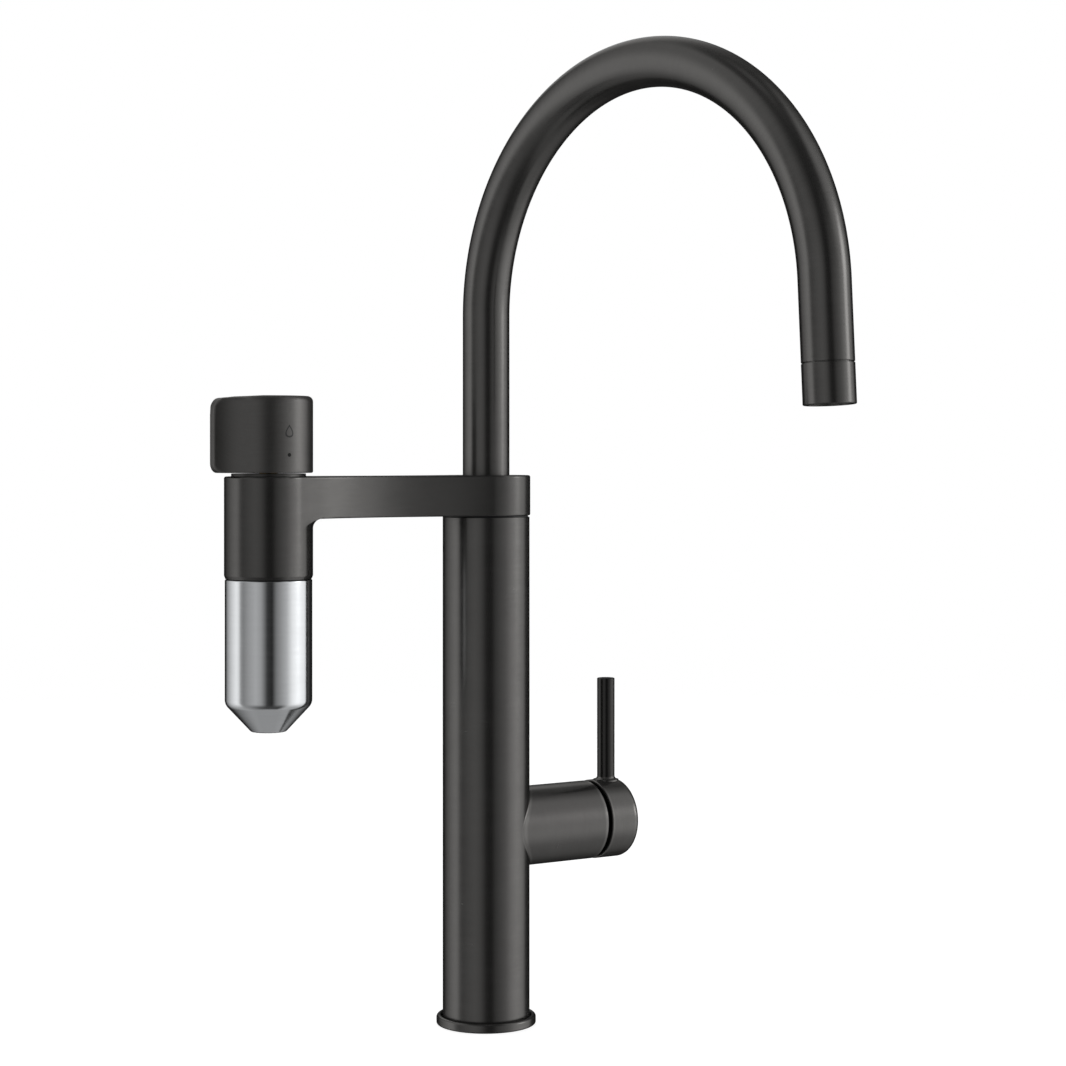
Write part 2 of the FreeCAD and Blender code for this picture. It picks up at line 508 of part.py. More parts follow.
fin = Part.Face(Part.Wire([
    Part.Arc(plan(q1, 1), plan(q3, 1), plan(q2, 1)).toShape(),
    Part.LineSegment(plan(q2, 1), plan(q2, -1)).toShape(),
    Part.Arc(plan(q2, -1), plan(q3, -1), plan(q1, -1)).toShape(),
    Part.LineSegment(plan(q1, -1), plan(q1, 1)).toShape()])).extrude(V(0, 0, KNOB_Z1 - KNOB_Z0))
side_view = [(HX - LUG_L, KNOB_Z0, 3.4), (HX - LUG_L, LUG_TOP, 3.6), (HX - 14, KNOB_Z1 - 0.1), (HX - 5, KNOB_Z1 - 0.1),
             (HX - 5, KNOB_Z0)]
lug = fin.common(Part.Face(rounded(side_view, lambda u, v: V(u, -30, v))).extrude(V(0, 60, 0)))
try:
    ends = [e for e in lug.Edges if e.BoundBox.XMax < HX - LUG_L + 3.7 and e.BoundBox.YLength < 2.0
            and (e.BoundBox.XLength > 0.01 or e.BoundBox.ZLength > 5)]
    lug2 = lug.makeFillet(0.45, ends)
    if lug2.isValid() and len(lug2.Solids) == 1:
        lug = lug2
        print("fin edges rounded")
except Exception as err:
    print("fin edges stay sharp:", err)
lug = lug.cut(cyl(18.0, KNOB_Z0 - 1, KNOB_Z1, HX))
kn = kn.fuse(lug)
kn = kn.fuse(cyl(7.0, 262.0, 288.0, HX))
kn = kn.cut(cyl(3.85, 261.0, 277.3, HX))
kn = kn.cut(rod_between(2.05, (HX, 3.0, 267.0), (HX, 23.0, 267.0)))
parts["filter_knob"] = one(kn)
parts["knob_grub_screw"] = grub(2.0, (HX, 3.95, 267.0), (0, 1, 0), 4.5)

# ---- capsule ----------------------------------------------------------------------
WALL = 0.9
SLOPE_TOP = 156.7          # where the straight side and the cone would meet
CONE_R0 = 7.4              # radius where the cone meets the flat bottom
outer = [(5.6, CAP_Z0 + 0.0), (CONE_R0 + 0.4, CAP_Z0 + 0.0, 1.6), (CAP_R, SLOPE_TOP, 5.0), (CAP_R, CAP_Z1, 0.55)]
inner = [(CAP_R - WALL, CAP_Z1, 0.2), (CAP_R - WALL, SLOPE_TOP + 0.4, 4.2), (CONE_R0 + 0.1, CAP_Z0 + 1.2, 0.5),
         (5.6, CAP_Z0 + 1.2)]
parts["capsule_shell"] = turned(outer + inner, HX)
parts["capsule_end_disc"] = turned([(0, CAP_Z0 + 0.25), (5.5, CAP_Z0 + 0.25, 0.3), (5.5, CAP_Z0 + 1.2), (7.0, CAP_Z0 + 1.2),
                                    (7.0, CAP_Z0 + 2.0, 0.2), (0, CAP_Z0 + 2.0)], HX)
collar = turned([(14.0, 202.0), (18.45, 202.0), (18.45, 211.4), (17.9, 211.4), (17.9, 224.5, 0.8), (7.05, 224.5, 0.4),
                 (7.05, 235.0, 0.5), (3.6, 235.0), (3.6, 214.0), (14.0, 214.0)], HX)
for z in (228.2, 232.4):
    collar = collar.cut(pipe_z(8.0, 5.52, z - 0.8, z + 0.8, HX))
parts["capsule_collar"] = one(collar)
parts["capsule_spigot_seals"] = group([Part.makeTorus(6.3, 0.75, V(HX, 0, z), V(0, 0, 1)) for z in (228.2, 232.4)])
parts["prefilter_fleece"] = pipe_z(17.9, 16.7, 160.0, 201.5, HX)
parts["carbon_block"] = turned([(8.6, 160.0), (16.6, 160.0, 0.5), (16.6, 201.5, 0.5), (8.6, 201.5)], HX)
parts["membrane_bundle"] = pipe_z(8.0, 3.7, 160.0, 213.0, HX)
parts["capsule_core_tube"] = pipe_z(3.55, 2.6, 150.0, 230.0, HX)

# ---- write ------------------------------------------------------------------------
os.makedirs("parts", exist_ok=True)
for name in sorted(parts):
    s = parts[name]
    ok = s.isValid()
    b = s.BoundBox
    print("%-22s %s solids %d vol %9.1f  x %.1f %.1f y %.1f %.1f z %.1f %.1f" % (
        name, "ok" if ok else "INVALID", len(s.Solids), s.Volume,
        b.XMin, b.XMax, b.YMin, b.YMax, b.ZMin, b.ZMax))
    s.exportStep(os.path.join("parts", name + ".step"))
print(len(parts), "nodes")
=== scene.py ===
import bpy
import bmesh
import math
import json
import numpy as np
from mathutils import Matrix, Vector
from mathutils.geometry import tessellate_polygon


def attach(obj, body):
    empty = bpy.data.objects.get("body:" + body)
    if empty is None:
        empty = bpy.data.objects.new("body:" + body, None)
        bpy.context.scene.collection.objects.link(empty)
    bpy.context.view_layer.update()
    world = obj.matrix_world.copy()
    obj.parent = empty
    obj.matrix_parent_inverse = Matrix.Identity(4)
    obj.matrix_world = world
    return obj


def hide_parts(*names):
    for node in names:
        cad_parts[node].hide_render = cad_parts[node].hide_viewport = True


# Kitchen tap with a filter capsule on a side arm. Millimetre helpers, metres in the scene.
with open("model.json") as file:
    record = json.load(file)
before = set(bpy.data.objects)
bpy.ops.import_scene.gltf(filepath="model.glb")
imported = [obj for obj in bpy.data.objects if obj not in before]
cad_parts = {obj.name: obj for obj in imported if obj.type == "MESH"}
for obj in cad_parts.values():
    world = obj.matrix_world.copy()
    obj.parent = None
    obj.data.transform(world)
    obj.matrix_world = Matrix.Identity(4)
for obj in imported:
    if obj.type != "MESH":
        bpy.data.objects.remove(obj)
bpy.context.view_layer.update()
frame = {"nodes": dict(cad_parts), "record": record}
NODES = frame["nodes"]
MM = 0.001

# ---------------------------------------------------------------- camera
cam_data = bpy.data.cameras.new("camera")
cam = bpy.data.objects.new("camera", cam_data)
bpy.context.scene.collection.objects.link(cam)
cam.location = (-0.6244, -0.9819, 0.2684)
cam.rotation_euler = (math.radians(90), 0.0, math.radians(-33.54))
cam_data.sensor_width = 36.0
cam_data.lens = 83.4
cam_data.shift_x = 0.0
cam_data.shift_y = -0.0752
cam_data.clip_start, cam_data.clip_end = 0.05, 50.0
bpy.context.scene.camera = cam
bpy.context.scene.view_settings.view_transform = "Standard"

# ---------------------------------------------------------------- sizes, as in the CAD part
COL_R, COL_RI, COL_Z0, COL_Z1 = 20.45, 18.5, 1.3, 238.3
HX = -114.8
SP_R, SP_RI = 11.0, 9.8
SP_ARC_Z, SP_ARC_R = 332.9, 106.5
SP_LEAN, SP_END_Z, SP_SLEEVE, SP_SWING = 3.17, 287.9, 17.0, -82.2
BAR_Z, BAR_R, BAR_RI, BAR_X1 = 91.1, 18.7, 17.0, 57.9
PIV_X = 44.0
KNOB_R = 19.75


# ---------------------------------------------------------------- node helpers
def add(nt, kind, props=None, **ins):
    n = nt.nodes.new(kind)
    for k, v in (props or {}).items():
        setattr(n, k, v)
    for k, v in ins.items():
        s = n.inputs[int(k[1:])] if k[0] == "i" and k[1:].isdigit() else n.inputs[k.replace("_", " ")]
        if isinstance(v, bpy.types.NodeSocket):
            nt.links.new(v, s)
        else:
            s.default_value = v
    return n


def math_node(nt, op, a, b=None, c=None, clamp=False):
    n = nt.nodes.new("ShaderNodeMath")
    n.operation = op
    n.use_clamp = clamp
    for i, v in enumerate((a, b, c)):
        if v is None:
            continue
        if isinstance(v, bpy.types.NodeSocket):
            nt.links.new(v, n.inputs[i])
        else:
            n.inputs[i].default_value = v
    return n.outputs[0]


def vec_node(nt, op, a, b=None, out=0):
    n = nt.nodes.new("ShaderNodeVectorMath")
    n.operation = op
    for i, v in enumerate((a, b)):
        if v is None:
            continue
        if isinstance(v, bpy.types.NodeSocket):
            nt.links.new(v, n.inputs[i])
        else:
            n.inputs[i].default_value = v
    return n.outputs[out]


def ramp(nt, fac, stops, mode="LINEAR"):
    n = nt.nodes.new("ShaderNodeValToRGB")
    n.color_ramp.interpolation = mode
    els = n.color_ramp.elements
    while len(els) > 1:
        els.remove(els[-1])
    first = True
    for pos, val in stops:
        col = (val, val, val, 1.0) if not isinstance(val, (tuple, list)) else (*val, 1.0)
        if first:
            els[0].position = pos
            els[0].color = col
            first = False
        else:
            e = els.new(pos)
            e.color = col
    nt.links.new(fac, n.inputs[0])
    return n.outputs[0]


def principled(name):
    m = bpy.data.materials.new(name)
    m.use_nodes = True
    nt = m.node_tree
    nt.nodes.clear()
    out = nt.nodes.new("ShaderNodeOutputMaterial")
    b = nt.nodes.new("ShaderNodeBsdfPrincipled")
    nt.links.new(b.outputs[0], out.inputs[0])
    return m, nt, b


# ---------------------------------------------------------------- world: soft studio light
TO_CAM = (-0.5525, -0.8335, 0.0)
RIGHT = (0.8335, -0.5525, 0.0)


def deg(v):
    return v / 360.0 + 0.5


world = bpy.data.worlds.new("studio")
bpy.context.scene.world = world
world.use_nodes = True
wt = world.node_tree
wt.nodes.clear()
w_out = wt.nodes.new("ShaderNodeOutputWorld")
tc = wt.nodes.new("ShaderNodeTexCoord")
direction = vec_node(wt, "NORMALIZE", tc.outputs["Generated"])
dc = vec_node(wt, "DOT_PRODUCT", direction, TO_CAM, out=1)
dr = vec_node(wt, "DOT_PRODUCT", direction, RIGHT, out=1)
beta = math_node(wt, "ARCTAN2", dr, dc)
beta01 = math_node(wt, "MULTIPLY_ADD", beta, 1.0 / (2 * math.pi), 0.5)
sep = add(wt, "ShaderNodeSeparateXYZ", i0=direction)
elev = math_node(wt, "MULTIPLY", math_node(wt, "ARCSINE", sep.outputs[2]), 180.0 / math.pi)

# softboxes and flags round the object, by azimuth from the camera, at eye level
LEVEL = 1.4
mid = ramp(wt, beta01, [(deg(b), v / LEVEL) for b, v in (
    (-180, 0.08), (-168, 0.12), (-160, 0.01), (-146, 0.02), (-134, 0.42), (-88, 1.08), (-80, 0.95),
    (-72, 0.36), (-64, 0.26), (-46, 0.40), (-28, 0.50), (-14, 0.40), (2, 0.05), (16, 0.02), (27, 0.23),
    (40, 0.37), (55, 0.55), (72, 1.06), (90, 1.30), (114, 1.10), (121, 0.92), (130, 0.10), (160, 0.0),
    (180, 0.08))])
up = ramp(wt, beta01, [(deg(b), v / LEVEL) for b, v in (
    (-180, 0.45), (-124, 0.62), (-60, 0.50), (-25, 0.15), (0, 0.05), (45, 0.05), (62, 0.45), (80, 0.72),
    (100, 0.70), (120, 0.42), (150, 0.12), (180, 0.45))])
down = ramp(wt, beta01, [(deg(b), v / LEVEL) for b, v in (
    (-180, 0.08), (-153, 0.08), (-107, 0.45), (-60, 0.30), (-25, 0.12), (0, 0.06), (45, 0.06), (67, 0.50),
    (139, 0.38), (160, 0.30), (180, 0.08))])


def blend_range(a, b):
    return add(wt, "ShaderNodeMapRange", {"interpolation_type": "SMOOTHSTEP"}, Value=elev, From_Min=a,
               From_Max=b).outputs[0]


mix1 = add(wt, "ShaderNodeMix", {"data_type": "RGBA"}, i0=blend_range(8.0, 48.0), i6=mid, i7=up)
mix2 = add(wt, "ShaderNodeMix", {"data_type": "RGBA"}, i0=blend_range(-12.0, -48.0), i6=mix1.outputs[2], i7=down)
pole = 0.36 / LEVEL
mix3 = add(wt, "ShaderNodeMix", {"data_type": "RGBA"}, i0=blend_range(-62.0, -76.0), i6=mix2.outputs[2],
           i7=(pole, pole, pole, 1.0))
dark = 0.12 / LEVEL
mix5 = add(wt, "ShaderNodeMix", {"data_type": "RGBA"}, i0=blend_range(58.0, 70.0), i6=mix3.outputs[2],
           i7=(dark, dark, dark, 1.0))
mix4 = add(wt, "ShaderNodeMix", {"data_type": "RGBA"}, i0=blend_range(79.0, 84.0), i6=mix5.outputs[2],
           i7=(pole, pole, pole, 1.0))


def lamp(base, azimuth, height, radius, power):
    """Adds a soft round lamp, by its azimuth from the camera, height and radius in degrees."""
    b, e = math.radians(azimuth), math.radians(height)
    d = [math.cos(e) * (math.cos(b) * c + math.sin(b) * r) for c, r in zip(TO_CAM, RIGHT)]
    near = vec_node(wt, "DOT_PRODUCT", direction, (d[0], d[1], math.sin(e)), out=1)
    spot = add(wt, "ShaderNodeMapRange", {"interpolation_type": "SMOOTHERSTEP"}, Value=near,
               From_Min=math.cos(math.radians(radius)), From_Max=1.0, To_Min=0.0, To_Max=power / LEVEL).outputs[0]
    return vec_node(wt, "ADD", base, add(wt, "ShaderNodeCombineXYZ", X=spot, Y=spot, Z=spot).outputs[0])


lit = lamp(mix4.outputs[2], 92.0, 14.0, 15.0, 2.5)
lit = lamp(lit, -168.0, 34.0, 24.0, 1.7)
studio = add(wt, "ShaderNodeBackground", i0=lit, i1=LEVEL)
BACKDROP = 1.0
backdrop = add(wt, "ShaderNodeBackground", i0=(BACKDROP, BACKDROP, BACKDROP, 1.0), i1=1.0)
path = wt.nodes.new("ShaderNodeLightPath")
w_mix = add(wt, "ShaderNodeMixShader", i0=path.outputs["Is Camera Ray"], i1=studio.outputs[0], i2=backdrop.outputs[0])
wt.links.new(w_mix.outputs[0], w_out.inputs[0])


# ---------------------------------------------------------------- floor
def make_floor():
    bm = bmesh.new()
    n, radii = 96, (0.0, 0.2, 0.5, 1.0, 1.6, 2.4)
    rings = []
    for r in radii:
        if r == 0:
            rings.append([bm.verts.new((0, 0, 0))])
        else:
            rings.append([bm.verts.new((r * math.cos(2 * math.pi * k / n), r * math.sin(2 * math.pi * k / n), 0))
                          for k in range(n)])
    for a, b in zip(rings, rings[1:]):
        for k in range(n):
            if len(a) == 1:
                bm.faces.new((a[0], b[k], b[(k + 1) % n]))
            else:
                bm.faces.new((a[k], b[k], b[(k + 1) % n], a[(k + 1) % n]))
    me = bpy.data.meshes.new("floor")
    bm.to_mesh(me)
    bm.free()
    ob = bpy.data.objects.new("floor", me)
    bpy.context.scene.collection.objects.link(ob)
    ob.location.z = -0.00005
    m = bpy.data.materials.new("pale_floor")
    m.use_nodes = True
    nt = m.node_tree
    nt.nodes.clear()
    out = nt.nodes.new("ShaderNodeOutputMaterial")
    co = nt.nodes.new("ShaderNodeTexCoord")
    dist = vec_node(nt, "LENGTH", co.outputs["Object"], out=1)
    fade = add(nt, "ShaderNodeMapRange", {"interpolation_type": "SMOOTHSTEP"}, Value=dist, From_Min=0.55,
               From_Max=1.7, To_Min=1.0, To_Max=0.0).outputs[0]
    grain = add(nt, "ShaderNodeTexNoise", Vector=co.outputs["Object"], Scale=60.0, Detail=3.0)
    tint = ramp(nt, grain.outputs[0], [(0.0, (0.52, 0.52, 0.52)), (1.0, (0.56, 0.56, 0.56))])
    dif = add(nt, "ShaderNodeBsdfDiffuse", Color=tint)
    glow = add(nt, "ShaderNodeEmission", Color=(1, 1, 1, 1), Strength=0.86)
    both = nt.nodes.new("ShaderNodeAddShader")
    nt.links.new(dif.outputs[0], both.inputs[0])
    nt.links.new(glow.outputs[0], both.inputs[1])
    clear = nt.nodes.new("ShaderNodeBsdfTransparent")
    geo = nt.nodes.new("ShaderNodeNewGeometry")
    front = math_node(nt, "SUBTRACT", 1.0, geo.outputs["Backfacing"])
    fac = math_node(nt, "MULTIPLY", fade, front)
    mx = add(nt, "ShaderNodeMixShader", i0=fac, i1=clear.outputs[0], i2=both.outputs[0])
    nt.links.new(mx.outputs[0], out.inputs[0])
    me.materials.append(m)
    ob.visible_glossy = False
    ob.visible_diffuse = False
    return ob


make_floor()


# ---------------------------------------------------------------- materials
def brushed(name, colour, rough, aniso, axis="z", origin=(0.0, 0.0, 0.0), tone=0.10, streak=0.10,
            bump=0.10, grain_amount=0.05, metallic=1.0, rim=1.0, radial=-0.8, painted_light_bands=()):
    """Lathe-brushed metal. The brush lines run round the axis ('z' or 'x') through origin, round
    the swept tube where axis is 'uv', and level with the deck, or along X on flat tops, where axis
    is 'bar'. rim is the reflection left at grazing angles; painted_light_bands lists bands of
    painted highlight (gain above 0) and painted shade (gain below 0) as (x, half width, gain) in
    millimetres, or (None, radius from the column's axis, half width, gain)."""
    m, nt, b = principled(name)
    co = nt.nodes.new("ShaderNodeTexCoord")
    obj = co.outputs["Object"]
    if axis == "bar":
        geo = nt.nodes.new("ShaderNodeNewGeometry")
        flat = math_node(nt, "ABSOLUTE", add(nt, "ShaderNodeSeparateXYZ", i0=geo.outputs["Normal"]).outputs[2])
        wall = math_node(nt, "SUBTRACT", 1.0, flat)
        tan = vec_node(nt, "NORMALIZE", add(nt, "ShaderNodeCombineXYZ", X=0.0, Y=flat, Z=wall).outputs[0])
        s = add(nt, "ShaderNodeSeparateXYZ", i0=obj)
        cx = math_node(nt, "MULTIPLY", s.outputs[0], 90.0)
        cy = math_node(nt, "MULTIPLY", s.outputs[1], 90.0)
        along = math_node(nt, "ADD", math_node(nt, "MULTIPLY", math_node(nt, "MULTIPLY", s.outputs[1], flat), 1000.0),
                          math_node(nt, "MULTIPLY", math_node(nt, "MULTIPLY", s.outputs[2], wall), 1000.0))
    elif axis == "uv":
        uv = add(nt, "ShaderNodeUVMap", {"uv_map": "UVMap"})
        s = add(nt, "ShaderNodeSeparateXYZ", i0=uv.outputs[0])
        ang = math_node(nt, "MULTIPLY", s.outputs[0], 2 * math.pi)
        cx = math_node(nt, "MULTIPLY", math_node(nt, "COSINE", ang), 1.2)
        cy = math_node(nt, "MULTIPLY", math_node(nt, "SINE", ang), 1.2)
        along = math_node(nt, "MULTIPLY", s.outputs[1], 1000.0)
        tan = add(nt, "ShaderNodeTangent", {"direction_type": "UV_MAP", "uv_map": "UVMap"}).outputs[0]
        b.inputs["Anisotropic Rotation"].default_value = 0.25
    else:
        off = vec_node(nt, "SUBTRACT", obj, origin)
        s = add(nt, "ShaderNodeSeparateXYZ", i0=off)
        if axis == "z":
            a, c, l = s.outputs[0], s.outputs[1], s.outputs[2]
            ax = (0.0, 0.0, 1.0)
        else:
            a, c, l = s.outputs[1], s.outputs[2], s.outputs[0]
            ax = (1.0, 0.0, 0.0)
        cx = math_node(nt, "MULTIPLY", a, 90.0)
        cy = math_node(nt, "MULTIPLY", c, 90.0)
        flat_r = vec_node(nt, "LENGTH", add(nt, "ShaderNodeCombineXYZ", X=a, Y=c).outputs[0], out=1)
        along = math_node(nt, "MULTIPLY", math_node(nt, "MULTIPLY_ADD", flat_r, radial, l), 1000.0)
        geo = nt.nodes.new("ShaderNodeNewGeometry")
        around = vec_node(nt, "CROSS_PRODUCT", ax, off)
        tan = vec_node(nt, "NORMALIZE", vec_node(nt, "CROSS_PRODUCT", around, geo.outputs["Normal"]))
    fine_v = add(nt, "ShaderNodeCombineXYZ", X=cx, Y=cy, Z=math_node(nt, "MULTIPLY", along, 5.5))
    wide_v = add(nt, "ShaderNodeCombineXYZ", X=cx, Y=cy, Z=math_node(nt, "MULTIPLY", along, 0.8))
    fine = add(nt, "ShaderNodeTexNoise", Vector=fine_v.outputs[0], Scale=1.0, Detail=3.0, Roughness=0.65).outputs[0]
    wide = add(nt, "ShaderNodeTexNoise", Vector=wide_v.outputs[0], Scale=1.0, Detail=4.0, Roughness=0.6).outputs[0]
    cloud = add(nt, "ShaderNodeTexNoise", Vector=obj, Scale=95.0, Detail=3.0, Roughness=0.55).outputs[0]
    grain = add(nt, "ShaderNodeTexNoise", Vector=obj, Scale=1500.0, Detail=2.0, Roughness=0.6).outputs[0]

    def spread(v, k):
        return math_node(nt, "MULTIPLY_ADD", v, 2 * k, -k)
    total = math_node(nt, "ADD", spread(cloud, tone), spread(wide, streak))
    total = math_node(nt, "ADD", total, spread(grain, grain_amount))
    total = math_node(nt, "ADD", total, spread(fine, streak * 0.6))
    # painted light: each band adds a painted highlight to the colour, or painted shade where its gain is below 0
    for band in painted_light_bands:
        xyz = add(nt, "ShaderNodeSeparateXYZ", i0=obj)
        where, (centre, half, gain) = xyz.outputs[0], band[-3:]
        if band[0] is None:
            flat_xy = add(nt, "ShaderNodeCombineXYZ", X=xyz.outputs[0], Y=xyz.outputs[1])
            where = vec_node(nt, "LENGTH", flat_xy.outputs[0], out=1)
        away = math_node(nt, "ABSOLUTE", math_node(nt, "SUBTRACT", where, centre * MM))
        near = add(nt, "ShaderNodeMapRange", {"interpolation_type": "SMOOTHSTEP"}, Value=away, From_Min=half * MM,
                   From_Max=0.0, To_Min=0.0, To_Max=gain).outputs[0]
        total = math_node(nt, "ADD", total, near)
    factor = math_node(nt, "ADD", total, 1.0)
    col = vec_node(nt, "MULTIPLY", colour, (1.0, 1.0, 1.0))
    scaled = nt.nodes.new("ShaderNodeVectorMath")
    scaled.operation = "SCALE"
    nt.links.new(col, scaled.inputs[0])
    nt.links.new(factor, scaled.inputs[3])
    nt.links.new(scaled.outputs[0], b.inputs["Base Color"])
    r = math_node(nt, "ADD", rough, spread(wide, 0.05))
    r = math_node(nt, "ADD", r, spread(cloud, 0.04), clamp=True)
    nt.links.new(r, b.inputs["Roughness"])
    b.inputs["Metallic"].default_value = metallic
    b.inputs["Specular Tint"].default_value = (rim, rim, rim, 1.0)
    b.inputs["Anisotropic"].default_value = aniso
    nt.links.new(tan, b.inputs["Tangent"])
    height = math_node(nt, "ADD", math_node(nt, "MULTIPLY", fine, 0.7), math_node(nt, "MULTIPLY", grain, 0.3))
    bp = add(nt, "ShaderNodeBump", Strength=bump, Distance=0.00003, Height=height)
    nt.links.new(bp.outputs[0], b.inputs["Normal"])
    return m


def moulded(name, colour, rough, scale=900.0, vary=0.06, bump=0.08, coat=0.0, subsurface=0.0, metallic=0.0,
            spec=0.5, fibre=False):
    m, nt, b = principled(name)
    co = nt.nodes.new("ShaderNodeTexCoord")
    vec = co.outputs["Object"]
    if fibre:
        mp = add(nt, "ShaderNodeMapping", Vector=vec, Scale=(1.0, 1.0, 0.06))
        vec = mp.outputs[0]
    big = add(nt, "ShaderNodeTexNoise", Vector=vec, Scale=scale * 0.08, Detail=4.0).outputs[0]
    small = add(nt, "ShaderNodeTexNoise", Vector=vec, Scale=scale, Detail=3.0, Roughness=0.6).outputs[0]
    mixed = math_node(nt, "ADD", math_node(nt, "MULTIPLY_ADD", big, 2 * vary, 1 - vary),
                      math_node(nt, "MULTIPLY_ADD", small, vary, -vary / 2))
    sc = nt.nodes.new("ShaderNodeVectorMath")
    sc.operation = "SCALE"
    sc.inputs[0].default_value = colour
    nt.links.new(mixed, sc.inputs[3])
    nt.links.new(sc.outputs[0], b.inputs["Base Color"])
    nt.links.new(math_node(nt, "MULTIPLY_ADD", small, 0.12, rough - 0.06, clamp=True), b.inputs["Roughness"])
    bp = add(nt, "ShaderNodeBump", Strength=bump, Distance=0.00004, Height=small)
    nt.links.new(bp.outputs[0], b.inputs["Normal"])
    b.inputs["Metallic"].default_value = metallic
    b.inputs["Coat Weight"].default_value = coat
    b.inputs["Specular IOR Level"].default_value = spec
    b.inputs["Subsurface Weight"].default_value = subsurface
    return m


STEEL = (0.71, 0.725, 0.74)


# level gives lighter or darker copies of the one black finish: painted light and shade
def black(name, axis, origin=(0.0, 0.0, 0.0), rough=0.24, level=1.0, painted_light_bands=(), rim=0.28):
    return brushed(name, (0.135 * level, 0.132 * level, 0.128 * level), rough, 0.6, axis, origin, metallic=0.8,
                   rim=rim, painted_light_bands=painted_light_bands)


# the levels below are painted light and shade, piece by piece, on the one black finish
black_col = black("black_column", "z")
black_hold = black("black_knob", "z", (HX * MM, 0, 0), rough=0.42, level=1.14)
# painted shade and painted highlight bands along the arm, standing in for the shading of its curved sides
black_arm = black("black_arm", "bar", level=0.86, painted_light_bands=((-44.0, 32.0, -0.16), (-77.0, 15.0, 0.05),
                                                        (-96.0, 12.0, -0.09), (-113.0, 20.0, 0.09),
                                                        (16.0, 16.0, 0.25)))
# painted highlights: a light ring at the barrel's end and a light line along its weld to the column
black_bar = black("black_barrel", "x", (0, 0, BAR_Z * MM), level=1.06, painted_light_bands=((BAR_X1 - 0.9, 1.5, 0.55),
                                                                             (None, COL_R + 0.75, 1.0, 0.35)))
# painted highlight: a light ring near the cap's rim
black_cap = black("black_cap", "x", (0, 0, BAR_Z * MM), level=1.22, painted_light_bands=((60.6, 1.1, 0.25),), rim=0.08)
black_rod = black("black_rod", "z", (0.069, 0, 0), level=0.42)
black_tube = black("black_spout", "uv")
steel = brushed("brushed_shell", STEEL, 0.16, 0.6, "z", (HX * MM, 0, 0), tone=0.03, streak=0.06, bump=0.08,
                grain_amount=0.02, rim=0.5, radial=0.9)

SLOTS = {
    "brass": brushed("machined_brass", (0.72, 0.55, 0.28), 0.26, 0.3, "z", tone=0.05, streak=0.06),
    "steel_small": brushed("small_steel", (0.56, 0.56, 0.57), 0.24, 0.2, "z", tone=0.05, streak=0.05),
    "tube_metal": brushed("drawn_tube", (0.62, 0.62, 0.63), 0.22, 0.3, "z", tone=0.04, streak=0.05),
    "seal_rubber": moulded("seal_rubber", (0.022, 0.022, 0.022), 0.55, vary=0.15, bump=0.15, spec=0.35),
    "black_plastic": moulded("black_plastic", (0.018, 0.018, 0.019), 0.42, vary=0.12, bump=0.12, spec=0.4),
    "white_plastic": moulded("white_plastic", (0.80, 0.80, 0.78), 0.38, vary=0.03, bump=0.06, subsurface=0.05),
    "blue_plastic": moulded("blue_plastic", (0.12, 0.27, 0.50), 0.33, vary=0.05, bump=0.06),
    "ceramic": moulded("lapped_ceramic", (0.86, 0.85, 0.82), 0.18, vary=0.02, bump=0.03, coat=0.4),
    "carbon": moulded("pressed_carbon", (0.030, 0.030, 0.030), 0.85, scale=1600.0, vary=0.35, bump=0.9, spec=0.2),
    "fleece": moulded("white_fleece", (0.84, 0.84, 0.82), 0.9, scale=1400.0, vary=0.08, bump=0.8, spec=0.1),
    "fibre": moulded("hollow_fibres", (0.86, 0.86, 0.84), 0.6, scale=2200.0, vary=0.10, bump=0.8, fibre=True),
    "satin_black": black_col,
    "steel_shell": steel,
}
BY_NODE = {
    "column_tube": black_col, "base_flange": black_col, "filter_arm": black_arm, "filter_knob": black_hold,
    "lever_barrel": black_bar, "lever_cap": black_cap, "lever_rod": black_rod, "knob_glide_ring": black_hold,
    "capsule_shell": steel, "capsule_end_disc": steel,
}
record_slot = {p["node"]: p["material_slot"] for p in frame["record"]["subparts"]}
for name, ob in NODES.items():
    mat = BY_NODE.get(name) or SLOTS[record_slot[name]]
    ob.data.materials.clear()
    ob.data.materials.append(mat)


# ---------------------------------------------------------------- mesh helpers
def mesh_piece(name, verts, faces, uvs, mat, body, sharp=32.0, nodes=()):
    """verts in millimetres; uvs is one (u, v) list per face."""
    me = bpy.data.meshes.new(name)
    me.from_pydata([tuple(c * MM for c in v) for v in verts], [], faces)
    if uvs is not None:
        layer = me.uv_layers.new(name="UVMap")
        flat = [c for f in uvs for p in f for c in p]
        layer.data.foreach_set("uv", flat)
    me.validate()
    bm = bmesh.new()
    bm.from_mesh(me)
    bmesh.ops.recalc_face_normals(bm, faces=bm.faces)
    bm.to_mesh(me)
    bm.free()
    me.shade_smooth()
    me.set_sharp_from_angle(angle=math.radians(sharp))
    me.materials.append(mat)
    ob = bpy.data.objects.new(name, me)
    bpy.context.scene.collection.objects.link(ob)
    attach(ob, body)
    if nodes:
        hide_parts(*nodes)
    return ob


